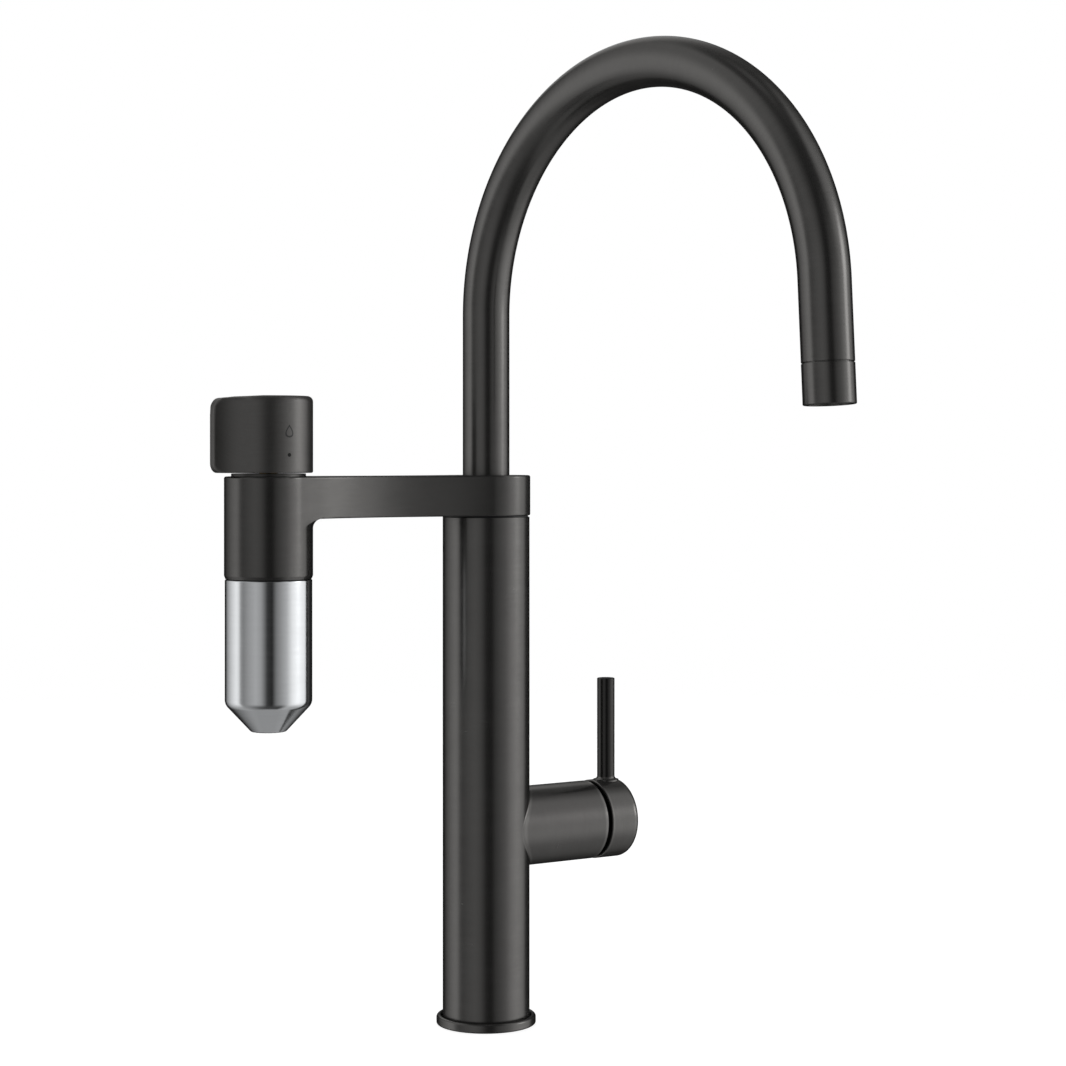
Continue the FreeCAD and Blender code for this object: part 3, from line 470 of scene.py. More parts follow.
def rounded(points, step=10.0, hold=0.15, closed=True):
    """Corner points (u, v[, radius]) as a fine polyline; short holding segments keep flats flat."""
    n = len(points)
    corners = []
    for i, p in enumerate(points):
        r = p[2] if len(p) > 2 else 0.0
        if r <= 0 or (not closed and i in (0, n - 1)):
            corners.append([(p[0], p[1])])
            continue
        a, b = points[i - 1], points[(i + 1) % n]
        ua = Vector((a[0] - p[0], a[1] - p[1])).normalized()
        ub = Vector((b[0] - p[0], b[1] - p[1])).normalized()
        half = math.acos(max(-1, min(1, ua.dot(ub)))) / 2
        t = r / math.tan(half)
        centre = Vector((p[0], p[1])) + (ua + ub).normalized() * (r / math.sin(half))
        s = Vector((p[0], p[1])) + ua * t - centre
        e = Vector((p[0], p[1])) + ub * t - centre
        a0, a1 = math.atan2(s.y, s.x), math.atan2(e.y, e.x)
        d = (a1 - a0 + math.pi) % (2 * math.pi) - math.pi
        k = max(3, math.ceil(abs(math.degrees(d)) / step))
        corners.append([(centre.x + r * math.cos(a0 + d * j / k), centre.y + r * math.sin(a0 + d * j / k))
                        for j in range(k + 1)])
    out = []
    for i in range(n):
        out += corners[i]
        if not closed and i == n - 1:
            break
        p, q = corners[i][-1], corners[(i + 1) % n][0]
        length = math.hypot(q[0] - p[0], q[1] - p[1])
        if length > 4 * hold:
            if len(corners[i]) > 1:
                out.append((p[0] + (q[0] - p[0]) * hold / length, p[1] + (q[1] - p[1]) * hold / length))
            if len(corners[(i + 1) % n]) > 1:
                out.append((q[0] + (p[0] - q[0]) * hold / length, q[1] + (p[1] - q[1]) * hold / length))
    return out


def lathe(points, n=192, origin=(0, 0, 0), axis=(0, 0, 1), side=(1, 0, 0), closed=True):
    """Verts, faces and uvs of a turned shape from (radius, height) points."""
    axis, side = Vector(axis).normalized(), Vector(side).normalized()
    other = axis.cross(side)
    o = Vector(origin)
    verts, rings, lengths = [], [], [0.0]
    for i, (r, h) in enumerate(points):
        if i:
            lengths.append(lengths[-1] + math.hypot(r - points[i - 1][0], h - points[i - 1][1]))
        if abs(r) < 1e-6:
            rings.append([len(verts)])
            verts.append(tuple(o + axis * h))
            continue
        rings.append(list(range(len(verts), len(verts) + n)))
        for k in range(n):
            a = 2 * math.pi * k / n
            verts.append(tuple(o + axis * h + side * (r * math.cos(a)) + other * (r * math.sin(a))))
    faces, uvs = [], []
    m = len(points)
    for i in range(m if closed else m - 1):
        j = (i + 1) % m
        a, b = rings[i], rings[j]
        va = lengths[i] * MM
        vb = (lengths[j] if j else lengths[-1] + 1.0) * MM
        if len(a) == 1 and len(b) == 1:
            continue
        for k in range(n):
            u0, u1 = k / n, (k + 1) / n
            k1 = (k + 1) % n
            if len(a) == 1:
                faces.append((a[0], b[k], b[k1]))
                uvs.append(((u0, va), (u0, vb), (u1, vb)))
            elif len(b) == 1:
                faces.append((a[k], b[0], a[k1]))
                uvs.append(((u0, va), (u0, vb), (u1, va)))
            else:
                faces.append((a[k], b[k], b[k1], a[k1]))
                uvs.append(((u0, va), (u0, vb), (u1, vb), (u1, va)))
    return verts, faces, uvs


# ---------------------------------------------------------------- spout
sw = math.radians(SP_SWING)
H = Vector((math.cos(sw), math.sin(sw), 0))          # plan direction of the arch
B = H.cross(Vector((0, 0, 1)))                        # across the arch
ARC = math.radians(180 - SP_LEAN)
EX = SP_ARC_R - SP_ARC_R * math.cos(ARC)
EZ = SP_ARC_Z + SP_ARC_R * math.sin(ARC)
TD = (math.sin(ARC), math.cos(ARC))
LEG = (EZ - SP_END_Z) / -TD[1]
SLEEVE_AT = LEG - SP_SLEEVE


def path_points(z0, leg, arc_steps=120):
    """Stations along the spout: (distance out, height, tangent out, tangent up, length)."""
    st = []
    first = SP_ARC_Z - z0
    for t in np.linspace(0, 1, 9):
        st.append((0.0, z0 + first * t, 0.0, 1.0, first * t))
    for t in np.linspace(0, 1, arc_steps + 1)[1:]:
        a = ARC * t
        st.append((SP_ARC_R - SP_ARC_R * math.cos(a), SP_ARC_Z + SP_ARC_R * math.sin(a), math.sin(a), math.cos(a),
                   first + SP_ARC_R * a))
    for t in np.linspace(0, 1, 6)[1:]:
        st.append((EX + TD[0] * leg * t, EZ + TD[1] * leg * t, TD[0], TD[1], first + SP_ARC_R * ARC + leg * t))
    return st


def tube_rings(stations, radius, n=128):
    verts = []
    for d, z, tx, tz, s in stations:
        centre = H * d + Vector((0, 0, z))
        nrm = H * (-tz) + Vector((0, 0, tx))
        for k in range(n):
            a = 2 * math.pi * k / n
            verts.append(tuple(centre + nrm * (radius * math.cos(a)) + B * (radius * math.sin(a))))
    return verts


def spout_tube():
    n = 128
    leg = SLEEVE_AT - 0.35
    outer = path_points(253.0, leg)
    inner = path_points(253.0, SLEEVE_AT + 3.9)
    last = outer[-1]
    L = last[4]

    def end_station(extra):
        return (EX + TD[0] * (leg + extra), EZ + TD[1] * (leg + extra), TD[0], TD[1], L + extra)
    rings = []
    o0 = outer[0]
    rings.append((o0, SP_R - 0.25))
    rings.append(((o0[0], o0[1] + 0.25, 0.0, 1.0, 0.25), SP_R))
    for s in outer[1:-1]:
        rings.append((s, SP_R))
    rings.append((end_station(-0.45), SP_R))
    rings.append((end_station(-0.22), SP_R))
    rings.append((end_station(-0.08), SP_R - 0.06))
    rings.append((end_station(0.0), SP_R - 0.2))
    rings.append((end_station(0.0), 10.35))
    rings.append((end_station(0.0), 10.3))
    rings.append((end_station(4.0), 10.3))
    rings.append((end_station(4.2), 10.1))
    rings.append((end_station(4.2), 8.9))
    rings.append((end_station(-1.6), 8.9))
    rings.append((end_station(-1.6), SP_RI))
    for s in reversed(outer[1:-1]):
        rings.append((s, SP_RI))
    rings.append((o0, SP_RI))
    verts, lens = [], [0.0]
    prev = None
    for st, r in rings:
        ring = tube_rings([st], r, n)
        verts += ring
        if prev is not None:
            d = (Vector(ring[0]) - Vector(prev)).length
            lens.append(lens[-1] + d)
        prev = ring[0]
    faces, uvs = [], []
    m = len(rings)
    for i in range(m):
        j = (i + 1) % m
        va = lens[i] * MM
        vb = (lens[j] if j else lens[-1] + 1.0) * MM
        for k in range(n):
            k1 = (k + 1) % n
            faces.append((i * n + k, j * n + k, j * n + k1, i * n + k1))
            uvs.append(((k / n, va), (k / n, vb), ((k + 1) / n, vb), ((k + 1) / n, va)))
    return mesh_piece("spout_tube_fine", verts, faces, uvs, black_tube, "spout", nodes=("spout_tube",))


spout_tube()

AX0 = H * (EX + TD[0] * SLEEVE_AT) + Vector((0, 0, EZ + TD[1] * SLEEVE_AT))
DV = H * TD[0] + Vector((0, 0, TD[1]))
SIDE = H * (-TD[1]) + Vector((0, 0, TD[0]))


def leg_lathe(points, n=160):
    return lathe(points, n, origin=AX0, axis=DV, side=SIDE)


v, f, u = leg_lathe(rounded([(10.35, 0.0), (SP_R, 0.0, 0.35), (SP_R, SP_SLEEVE, 0.5), (9.6, SP_SLEEVE, 0.3),
                             (9.6, 4.6), (10.35, 4.6)]))
mesh_piece("outlet_sleeve_fine", v, f, u, black_tube, "spout", nodes=("outlet_sleeve",))

v, f, u = leg_lathe(rounded([(2.0, 8.0), (9.5, 8.0), (9.5, 15.6, 0.5), (8.4, 15.6, 0.3), (8.0, 14.4, 0.3),
                             (7.2, 14.4), (6.9, 14.0), (6.4, 14.0), (6.1, 14.4), (5.4, 14.4), (5.1, 14.0),
                             (4.6, 14.0), (4.3, 14.4), (3.4, 14.4), (3.4, 15.4, 0.3), (2.0, 15.4, 0.2)]))
mesh_piece("aerator_insert_fine", v, f, u, SLOTS[record_slot["aerator_insert"]], "spout",
           nodes=("aerator_insert",))


# ---------------------------------------------------------------- turned pieces
def turned_piece(node, profile, mat=None, x=0.0, n=256, along_x=False, step=8.0, cuts=(), adds=()):
    """A turned mesh standing for one CAD node: (radius, height[, corner radius]) about a vertical
    axis at x, or about the barrel's axis. cuts and adds are (verts, faces) of other solids."""
    body = NODE_BODY[node]
    slot = record_slot[node]
    pts = rounded(profile, step)
    if along_x:
        v, f, u = lathe(pts, n, origin=(0, 0, BAR_Z), axis=(1, 0, 0), side=(0, 0, 1))
    else:
        v, f, u = lathe(pts, n, origin=(x, 0, 0))
    ob = mesh_piece(node + "_fine", v, f, u, mat or SLOTS[slot], body, nodes=(node,))
    for tool in adds:
        combine(ob, tool, "UNION")
    for tool in cuts:
        combine(ob, tool, "DIFFERENCE")
    return ob


def combine(ob, tool, op, sharp=32.0):
    """Boolean of a piece with the closed mesh (verts, faces), baked into the piece's own mesh."""
    me = bpy.data.meshes.new("tool")
    me.from_pydata([tuple(c * MM for c in v) for v in tool[0]], [], tool[1])
    bm = bmesh.new()
    bm.from_mesh(me)
    bmesh.ops.recalc_face_normals(bm, faces=bm.faces)
    bm.to_mesh(me)
    bm.free()
    other = bpy.data.objects.new("tool", me)
    bpy.context.scene.collection.objects.link(other)
    mod = ob.modifiers.new("join", "BOOLEAN")
    mod.operation, mod.solver, mod.object = op, "EXACT", other
    bpy.context.view_layer.update()
    dg = bpy.context.evaluated_depsgraph_get()
    baked = bpy.data.meshes.new_from_object(ob.evaluated_get(dg), preserve_all_data_layers=True, depsgraph=dg)
    ob.modifiers.remove(mod)
    old, mats = ob.data, list(ob.data.materials)
    ob.data = baked
    baked.materials.clear()
    for m in mats:
        baked.materials.append(m)
    baked.polygons.foreach_set("material_index", [0] * len(baked.polygons))
    bpy.data.meshes.remove(old)
    bpy.data.objects.remove(other, do_unlink=True)
    bpy.data.meshes.remove(me)
    baked.shade_smooth()
    baked.set_sharp_from_angle(angle=math.radians(sharp))


def rod(r, a, b, n=96, side=None):
    """Closed cylinder between two points as (verts, faces)."""
    a, b = Vector(a), Vector(b)
    ax = (b - a).normalized()
    side = Vector(side) if side else (Vector((1, 0, 0)) if abs(ax.x) < 0.9 else Vector((0, 0, 1)))
    v, f, _ = lathe([(0, 0), (r, 0), (r, (b - a).length), (0, (b - a).length)], n, origin=a, axis=ax, side=side)
    return v, f


NODE_BODY = {n: b for b, group in frame["record"]["behaviour"]["bodies"].items() for n in group}

turned_piece("base_flange", [(20.0, 0.0), (23.4, 0.0, 0.9), (23.4, 4.4, 1.3), (21.15, 4.4, 0.7), (21.15, 2.2, 0.2),
                             (20.5, 1.9), (20.5, 1.25), (20.0, 1.25)], black_col)
turned_piece("head_washer", [(18.55, 238.32), (19.75, 238.32, 0.15), (19.75, 238.98, 0.15), (18.55, 238.98)])
turned_piece("spout_bush", [(11.06, 253.35), (12.35, 253.35), (12.35, 257.9, 0.2), (11.06, 257.9, 0.2)])
turned_piece("knob_glide_ring", [(9.2, 255.85), (16.6, 255.85), (16.6, 259.2, 0.2), (9.2, 259.2, 0.2)],
             black_hold, HX)
turned_piece("capsule_shell", [(5.6, 144.3), (7.8, 144.3, 1.6), (19.4, 156.7, 5.0), (19.4, 212.1, 0.55),
                               (18.5, 212.1, 0.2), (18.5, 157.1, 4.2), (7.5, 145.5, 0.5), (5.6, 145.5)],
             steel, HX, n=320, step=4.0)
turned_piece("capsule_end_disc", [(0, 144.55), (5.5, 144.55, 0.3), (5.5, 145.5), (7.0, 145.5), (7.0, 146.3, 0.2),
                                  (0, 146.3)], steel, HX, n=128)
turned_piece("capsule_collar", [(14.0, 202.0), (18.45, 202.0), (18.45, 211.4), (17.9, 211.4), (17.9, 224.5, 0.8),
                                (7.05, 224.5, 0.4), (7.05, 227.4), (5.52, 227.4), (5.52, 229.0), (7.05, 229.0),
                                (7.05, 231.6), (5.52, 231.6), (5.52, 233.2), (7.05, 233.2), (7.05, 235.0, 0.5),
                                (3.6, 235.0), (3.6, 214.0), (14.0, 214.0)], x=HX)
turned_piece("dome_trim", [(11.2, 50.3), (14.0, 59.4, 0.3), (16.9, 59.4, 0.4), (16.9, 50.3)], along_x=True, n=192)
turned_piece("lever_rod", [(0.0, 102.15), (4.25, 102.15, 0.4), (4.25, 159.0, 0.45), (0.0, 159.0)], black_rod, 69.0,
             n=96)

# column with the opening that the barrel covers
turned_piece("column_tube", [(18.5, 1.3), (20.45, 1.3, 0.1), (20.45, 60.0), (20.45, 91.0), (20.45, 122.0),
                             (20.45, 238.3, 0.15), (18.5, 238.3), (18.5, 122.0), (18.5, 60.0)], black_col,
             cuts=(rod(17.0, (0, 0, BAR_Z), (30, 0, BAR_Z), 128, (0, 0.011, 1)),))


# ---------------------------------------------------------------- lever barrel, welded to the column
def lever_barrel():
    n, weld = 256, 1.2
    phis = [2 * math.pi * k / n for k in range(n)]

    def section(x, r):
        return [(x, r * math.cos(a), BAR_Z + r * math.sin(a)) for a in phis]
    rows = [[(math.sqrt(COL_R ** 2 - (BAR_RI * math.cos(a)) ** 2), BAR_RI * math.cos(a), BAR_Z + BAR_RI * math.sin(a))
             for a in phis]]
    rows.append(section(30.0, BAR_RI))
    for x, r in rounded([(40.0, BAR_RI), (BAR_X1, BAR_RI, 0.3), (BAR_X1, BAR_R, 0.75), (30.0, BAR_R)], 9.0,
                        closed=False):
        rows.append(section(x, r))
    contact = []
    for a in phis:
        rc = BAR_R + weld
        yc, zc = rc * math.cos(a), rc * math.sin(a)
        xc = math.sqrt((COL_R + weld) ** 2 - yc * yc)
        contact.append((Vector((xc, yc, zc)), Vector((0, -math.cos(a), -math.sin(a))),
                        Vector((-xc, -yc, 0)) / (COL_R + weld)))
    rows.append([tuple(Vector((c.x + 0.3, BAR_R * math.cos(a), BAR_Z + BAR_R * math.sin(a))))
                 for (c, d0, d1), a in zip(contact, phis)])
    for j in range(11):
        row = []
        for c, d0, d1 in contact:
            d = d0.slerp(d1, j / 10) if d0.angle(d1) > 1e-4 else d0
            p = c + d * weld
            row.append((p.x, p.y, p.z + BAR_Z))
        rows.append(row)
    verts = [p for row in rows for p in row]
    faces = []
    for i in range(len(rows)):
        j = (i + 1) % len(rows)
        for k in range(n):
            k1 = (k + 1) % n
            faces.append((i * n + k, j * n + k, j * n + k1, i * n + k1))
    return mesh_piece("lever_barrel_fine", verts, faces, None, black_bar, NODE_BODY["lever_barrel"],
                      nodes=("lever_barrel",))


lever_barrel()

# lever cap: rounded drum with a spherical hollow, the socket for the stem and the rod's foot
hollow = [(math.sqrt(24.1 ** 2 - (x - PIV_X) ** 2), x) for x in np.linspace(60.1, 67.2, 16)]
foot = [(0.0, BAR_Z + 14), (6.15, BAR_Z + 14), (6.15, 109.8)]
foot += [(6.05 - 1.8 * math.cos(a), 111.6 - 1.8 * math.sin(a)) for a in np.radians(np.linspace(90, 14, 12))]
foot += [(0.0, foot[-1][1])]
turned_piece("lever_cap", [(0.0, 76.6), (18.9, 76.6, 3.9), (18.9, 60.1, 0.35)] + hollow + [
    (6.4, 67.2), (6.0, 66.8), (6.0, 64.2), (4.6, 64.2), (4.6, 55.4), (2.95, 55.4), (2.95, 68.9), (0.0, 68.9)],
    black_cap, along_x=True, n=256, step=4.0,
    adds=(lathe(foot, 128, origin=(69.0, 0, 0), side=(1, 0.013, 0))[:2],),
    cuts=(rod(4.25, (69, 0, 102.1), (69, 0, 118), 96, (1, 0.021, 0)),
          rod(2.05, (66.5, 0, BAR_Z - 23), (66.5, 0, BAR_Z - 1.0), 64, (1, 0.017, 0))))


# ---------------------------------------------------------------- filter arm
RING_R, RING_Z0, RING_Z1 = 20.8, 239.0, 257.9
HOLD_R, ARM_SIDE_R, FB = 19.75, 130.0, 4.2
SIDE_A, SIDE_B = RING_R + ARM_SIDE_R, HOLD_R + ARM_SIDE_R
SIDE_X = (HX ** 2 + SIDE_A ** 2 - SIDE_B ** 2) / (2 * HX)         # centre of the hollow side's arc
SIDE_Y = math.sqrt(SIDE_A ** 2 - SIDE_X ** 2)


def filter_arm():
    # upper half of the plan outline: (x, y, inward normal, share of the bottom rounding)
    half = []
    ring_end = math.atan2(SIDE_Y, SIDE_X)
    a0 = math.atan2(SIDE_Y, SIDE_X - HX)
    for t in np.linspace(0, ring_end, 76):
        half.append([RING_R * math.cos(t), RING_R * math.sin(t), -math.cos(t), -math.sin(t), 1.0])
    r_line = [HOLD_R + FB + 0.15] + [HOLD_R + FB - FB * math.cos(a) for a in np.radians(np.linspace(90, 0, 13))]
    z_line = [RING_Z0] + [RING_Z0 - FB + FB * math.sin(a) for a in np.radians(np.linspace(90, 0, 13))]

    def side_point(t):
        return SIDE_X + ARM_SIDE_R * math.cos(t), SIDE_Y + ARM_SIDE_R * math.sin(t)
    # where the side crosses a circle about the holder: angle on the arc, and the point
    turns = [a0 - math.pi + math.acos(max(-1.0, min(1.0, (SIDE_B ** 2 + ARM_SIDE_R ** 2 - r * r) /
                                                    (2 * ARM_SIDE_R * SIDE_B)))) for r in r_line]
    cross = [side_point(t) for t in turns]
    for t in np.linspace(ring_end - math.pi, turns[0], 60)[1:-1]:
        x, y = side_point(t)
        w = min(1.0, max(0.0, (x - cross[0][0]) / 9.0))
        half.append([x, y, math.cos(t), math.sin(t), w * w * (3 - 2 * w)])
    first = len(half)
    for (x, y), t in zip(cross, turns):
        half.append([x, y, math.cos(t), math.sin(t), 0.0])
    arc = list(np.linspace(a0, 2 * math.pi - a0, 124)[1:-1])
    hold = [[HX + HOLD_R * math.cos(t), HOLD_R * math.sin(t), -math.cos(t), -math.sin(t), 0.0] for t in arc]
    lower = [[p[0], -p[1], p[2], -p[3], p[4]] for p in reversed(half[1:])]
    line = half + hold + lower
    total = len(line)

    def row(inset, height):
        return [(x + nx * inset(w), y + ny * inset(w), height(w)) for x, y, nx, ny, w in line]
    B, T = 0.75, 0.9
    rows = [row(lambda w: (B + 0.15) * w, lambda w: RING_Z0)]
    for a in (90, 67.5, 45, 22.5, 0):
        t = math.radians(a)
        rows.append(row(lambda w: B * w * (1 - math.cos(t)) if a else 0.0,
                        lambda w: RING_Z0 + B * w * (1 - math.sin(t))))
    rows.append(row(lambda w: 0.0, lambda w: RING_Z0 + B + 0.25))
    rows.append(row(lambda w: 0.0, lambda w: RING_Z1 - T - 0.2))
    for a in np.linspace(0, 90, 7):
        t = math.radians(a)
        rows.append(row(lambda w: T * (1 - math.cos(t)), lambda w: RING_Z1 - T + T * math.sin(t)))
    rows.append(row(lambda w: T + 0.2, lambda w: RING_Z1))
    verts, faces = [], []

    def grid(table, closed):
        base = len(verts)
        m = len(table[0])
        for r_ in table:
            verts.extend(r_)
        for i in range(len(table) - 1):
            for k in range(m if closed else m - 1):
                k1 = (k + 1) % m
                faces.append((base + i * m + k, base + i * m + k1, base + (i + 1) * m + k1, base + (i + 1) * m + k))
    grid(rows, True)

    # fillet under the bar: fans across the bar, and its two cheeks
    share = list(np.linspace(1, -1, 61))
    wide = [math.atan2(y, x - HX) for x, y in cross]

    def across(k, height):
        return [(HX + r_line[k] * math.cos(wide[k] * s), r_line[k] * math.sin(wide[k] * s), height) for s in share]
    grid([across(k, z) for k, z in enumerate(z_line)], False)
    for s in (1, -1):
        top = [(x, s * y, RING_Z0) for x, y in cross[1:]]
        low = [(x, s * y, z) for (x, y), z in zip(cross[1:], z_line[1:])]
        grid([top, low], False)

    # holder sleeve below the bar
    angles = [wide[-1] * s for s in reversed(share)] + arc
    tube = [[(HX + r * math.cos(a), r * math.sin(a), z) for a in angles] for r, z in rounded(
        [(HOLD_R, RING_Z0 - FB), (HOLD_R, 213.9, 0.5), (HOLD_R - 0.55, 212.4, 0.15), (18.35, 212.4), (18.35, 255.9),
         (16.9, 255.9), (16.9, RING_Z1)], 10.0, closed=False)]
    grid(tube, True)
    high = [a0] + arc + [2 * math.pi - a0]
    grid([[(HX + HOLD_R * math.cos(a), HOLD_R * math.sin(a), z) for a in high] for z in (RING_Z0, RING_Z0 - FB)], False)

    # bore of the ring
    turn = [2 * math.pi * k / 160 for k in range(160)]
    grid([[(r * math.cos(a), r * math.sin(a), z) for a in turn] for r, z in (
        (18.5, RING_Z0), (18.5, 253.2), (12.4, 253.2), (12.4, RING_Z1))], True)

    def sheet(loops):
        base = len(verts)
        flat = [p for lp in loops for p in lp]
        verts.extend(flat)
        for tri in tessellate_polygon([[Vector(p) for p in lp] for lp in loops]):
            faces.append(tuple(base + i for i in tri))
    under = [p for i, p in enumerate(rows[0]) if i <= first]
    under += across(0, RING_Z0)[1:-1]
    under += [p for i, p in enumerate(rows[0]) if i >= total - first]
    sheet([under, [(18.5 * math.cos(a), 18.5 * math.sin(a), RING_Z0) for a in turn]])
    sheet([rows[-1], [(12.4 * math.cos(a), 12.4 * math.sin(a), RING_Z1) for a in turn],
           [(HX + 16.9 * math.cos(a), 16.9 * math.sin(a), RING_Z1) for a in angles]])

    me = bpy.data.meshes.new("arm")
    me.from_pydata([tuple(c * MM for c in v) for v in verts], [], faces)
    bm = bmesh.new()
    bm.from_mesh(me)
    bmesh.ops.remove_doubles(bm, verts=bm.verts, dist=2e-7)
    bmesh.ops.dissolve_degenerate(bm, edges=bm.edges, dist=1e-8)
    v2 = [tuple(c / MM for c in v.co) for v in bm.verts]
    bm.verts.index_update()
    f2 = [tuple(v.index for v in f.verts) for f in bm.faces]
    bm.free()
    bpy.data.meshes.remove(me)
    ob = mesh_piece("filter_arm_fine", v2, f2, None, black_arm, NODE_BODY["filter_arm"],
                    nodes=("filter_arm",))
    for a in (60, 120):
        c, s = math.cos(math.radians(a)), math.sin(math.radians(a))
        combine(ob, rod(2.05, (16 * c, 16 * s, 241.6), (24 * c, 24 * s, 241.6), 48, (0, 0, 1)), "DIFFERENCE")
    return ob


filter_arm()


# ---------------------------------------------------------------- knob
KNOB_Z0, KNOB_Z1, GRIP_L = 259.5, 293.7, 28.1
FLANK_A = math.radians(53.0)
_cq = GRIP_L * math.sin(FLANK_A) + 2.05 * math.cos(FLANK_A)
FLANK_R = (2 * KNOB_R * _cq - KNOB_R ** 2 - GRIP_L ** 2 - 2.05 ** 2) / (2 * (KNOB_R - _cq))
FLANK_C = ((KNOB_R + FLANK_R) * math.sin(FLANK_A), (KNOB_R + FLANK_R) * math.cos(FLANK_A))
FLANK_U = KNOB_R * math.sin(FLANK_A)


def round_max(a, b, r):
    return np.minimum(-r, np.maximum(a, b)) + np.hypot(np.maximum(a + r, 0), np.maximum(b + r, 0))


def knob_top(u):
    """Height of the knob's top, which falls a little towards the grip's tip."""
    return KNOB_Z1 - 1.4 * np.maximum(0, (u - 10.0) / (GRIP_L - 10.0))


def knob_field(u, v, z):
    """Signed distance, nearly, of the knob: u towards the grip's tip, v across it, z up."""
    drum = np.hypot(u, v) - KNOB_R
    grip = np.maximum(FLANK_R - np.hypot(u - FLANK_C[0], np.abs(v) - FLANK_C[1]), FLANK_U - u)
    plan = np.minimum(drum, grip)
    top = z - knob_top(u)
    low = KNOB_Z0 - z
    t = np.clip((u - 12.0) / 13.0, 0, 1)
    edge = 2.6 - 1.3 * t * t * (3 - 2 * t)
    end = round_max(round_max(u - GRIP_L, top, 5.2), low, 4.2)
    return np.maximum(np.maximum(round_max(plan, top, edge), round_max(plan, low, 0.3)), round_max(plan, end, 0.7))


def reach(u, v, z, du, dv, dz, far):
    """Distance along a ray from an inner point to the knob's surface."""
    lo, hi = np.zeros_like(u), np.full_like(u, far)
    for _ in range(46):
        mid_ = (lo + hi) / 2
        inside = knob_field(u + du * mid_, v + dv * mid_, z + dz * mid_) < 0
        lo, hi = np.where(inside, mid_, lo), np.where(inside, hi, mid_)
    return (lo + hi) / 2


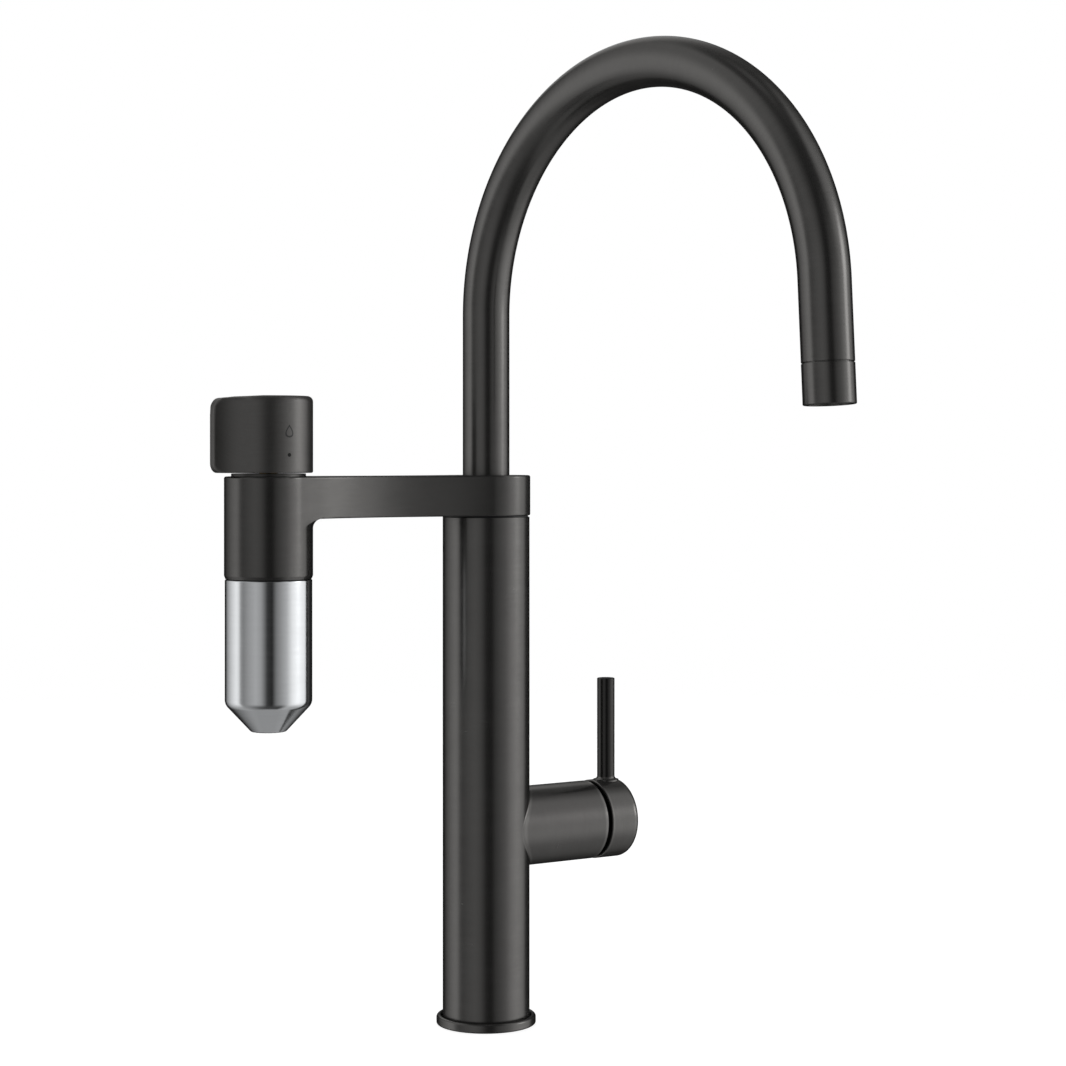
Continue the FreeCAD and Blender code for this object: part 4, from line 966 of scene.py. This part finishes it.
def filter_knob():
    side = [0.0, 0.6, 1.2, 1.8, 2.3] + list(np.arange(2.6, 6.01, 0.2)) + list(np.arange(6.6, 40.1, 0.8)) + \
        list(np.arange(41.5, 180.0, 1.5))
    psi = np.radians(np.array([-a for a in reversed(side[1:])] + side + [180.0]))
    c, s = np.cos(psi), np.sin(psi)
    o = np.zeros_like(psi)
    wall = reach(o, o, o + 276.0, c, s, o, 45.0)
    rows = []

    def fan(rc, zc, deg_):
        a = math.radians(deg_)
        d = reach(rc * c, rc * s, zc, c * math.cos(a), s * math.cos(a), o + math.sin(a), 14.0)
        rows.append((rc + d * math.cos(a), zc + d * math.sin(a)))
    back = np.minimum(3.8, wall - 18.2)
    rc, zc = wall - back, KNOB_Z0 + back
    for a in (-90, -75, -62, -53, -49, -47, -45.8, -45, -44.2, -43, -41, -37, -28, -15, 0):
        fan(rc, zc, a)
    for z in (266.0, 272.0, 279.0, 285.0):
        rows.append((reach(o, o, o + z, c, s, o, 45.0), o + z))
    rc = wall - 3.8
    zc = knob_top(rc * c) - 3.8
    for a in np.linspace(0, 90, 27):
        fan(rc, zc, a)
    for k in (0.92, 0.82, 0.68, 0.5, 0.3, 0.12):
        r = rc * k
        base = o + 280.0
        rows.append((r, base + reach(r * c, r * s, base, o, o, o + 1.0, 20.0)))
    m = len(psi)
    verts, faces = [], []

    def put(r, z):
        return [(HX - r_ * c_, r_ * s_, z_) for r_, c_, s_, z_ in zip(r, c, s, z)]
    for r, z in rows:
        verts += put(r, z)
    verts.append((HX, 0.0, KNOB_Z1))
    pole = len(verts) - 1
    for i in range(len(rows) - 1):
        for k in range(m):
            k1 = (k + 1) % m
            faces.append((i * m + k, i * m + k1, (i + 1) * m + k1, (i + 1) * m + k))
    last = (len(rows) - 1) * m
    for k in range(m):
        faces.append((last + k, last + (k + 1) % m, pole))
    # hollow underside with the boss for the spindle
    inner = rounded([(17.0, KNOB_Z0), (17.0, 287.0, 1.0), (7.0, 287.0, 0.6), (7.0, 262.0, 0.3), (3.85, 262.0, 0.2),
                     (3.85, 277.3), (0.0, 277.3)], 12.0, closed=False)
    prev = 0
    for r, z in inner[:-1]:
        base = len(verts)
        verts += put(o + r, o + z)
        for k in range(m):
            k1 = (k + 1) % m
            faces.append((prev + k, base + k, base + k1, prev + k1))
        prev = base
    verts.append((HX, 0.0, 277.3))
    for k in range(m):
        faces.append((prev + k, len(verts) - 1, prev + (k + 1) % m))
    ob = mesh_piece("filter_knob_fine", verts, faces, None, black_hold, NODE_BODY["filter_knob"],
                    nodes=("filter_knob",))
    combine(ob, rod(2.05, (HX, 5.0, 267.0), (HX, 23.0, 267.0), 48, (0, 0, 1)), "DIFFERENCE")
    return ob


filter_knob()


def knob_mark(name, outer, inner, mat, z0, high=0.02, deep=0.08):
    """Thin inlay on the knob's front: closed band between two outlines of (across, up) points."""
    n = len(outer)
    verts, faces = [], []
    for r in (KNOB_R + high, KNOB_R - deep):
        for loop in (outer, inner):
            for a, h in loop:
                t = a / KNOB_R
                verts.append((HX + r * math.sin(t), -r * math.cos(t), z0 + h))
    oo, io, ob_, ib = 0, n, 2 * n, 3 * n
    for k in range(n):
        k1 = (k + 1) % n
        faces += [(oo + k, oo + k1, io + k1, io + k), (ob_ + k, ib + k, ib + k1, ob_ + k1),
                  (oo + k, ob_ + k, ob_ + k1, oo + k1), (io + k, io + k1, ib + k1, ib + k)]
    return mesh_piece(name, verts, faces, None, mat, "knob", sharp=30)


def drop(width, height, n=72):
    """Outline of a plain water drop, tip up."""
    out = []
    for k in range(n):
        t = 2 * math.pi * k / n
        out.append((width / 2 * math.sin(t) * math.sin(t / 2) ** 1.3 * 1.18, height / 2 * math.cos(t)))
    return out


drop_mat = moulded("etched_drop", (0.042, 0.042, 0.042), 0.40, vary=0.15, bump=0.05, spec=0.4)
dot_mat = moulded("etched_dot", (0.008, 0.008, 0.008), 0.50, vary=0.1, bump=0.05, spec=0.25)
knob_mark("knob_mark_drop", drop(4.6, 5.8), [(a * 0.70, h * 0.70 - 0.12) for a, h in drop(4.6, 5.8)], drop_mat, 278.0)
circle = [(math.cos(2 * math.pi * k / 48), math.sin(2 * math.pi * k / 48)) for k in range(48)]
knob_mark("knob_mark_dot", [(0.85 * a, 0.85 * h) for a, h in circle], [(0.01 * a, 0.01 * h) for a, h in circle],
          dot_mat, 267.5)
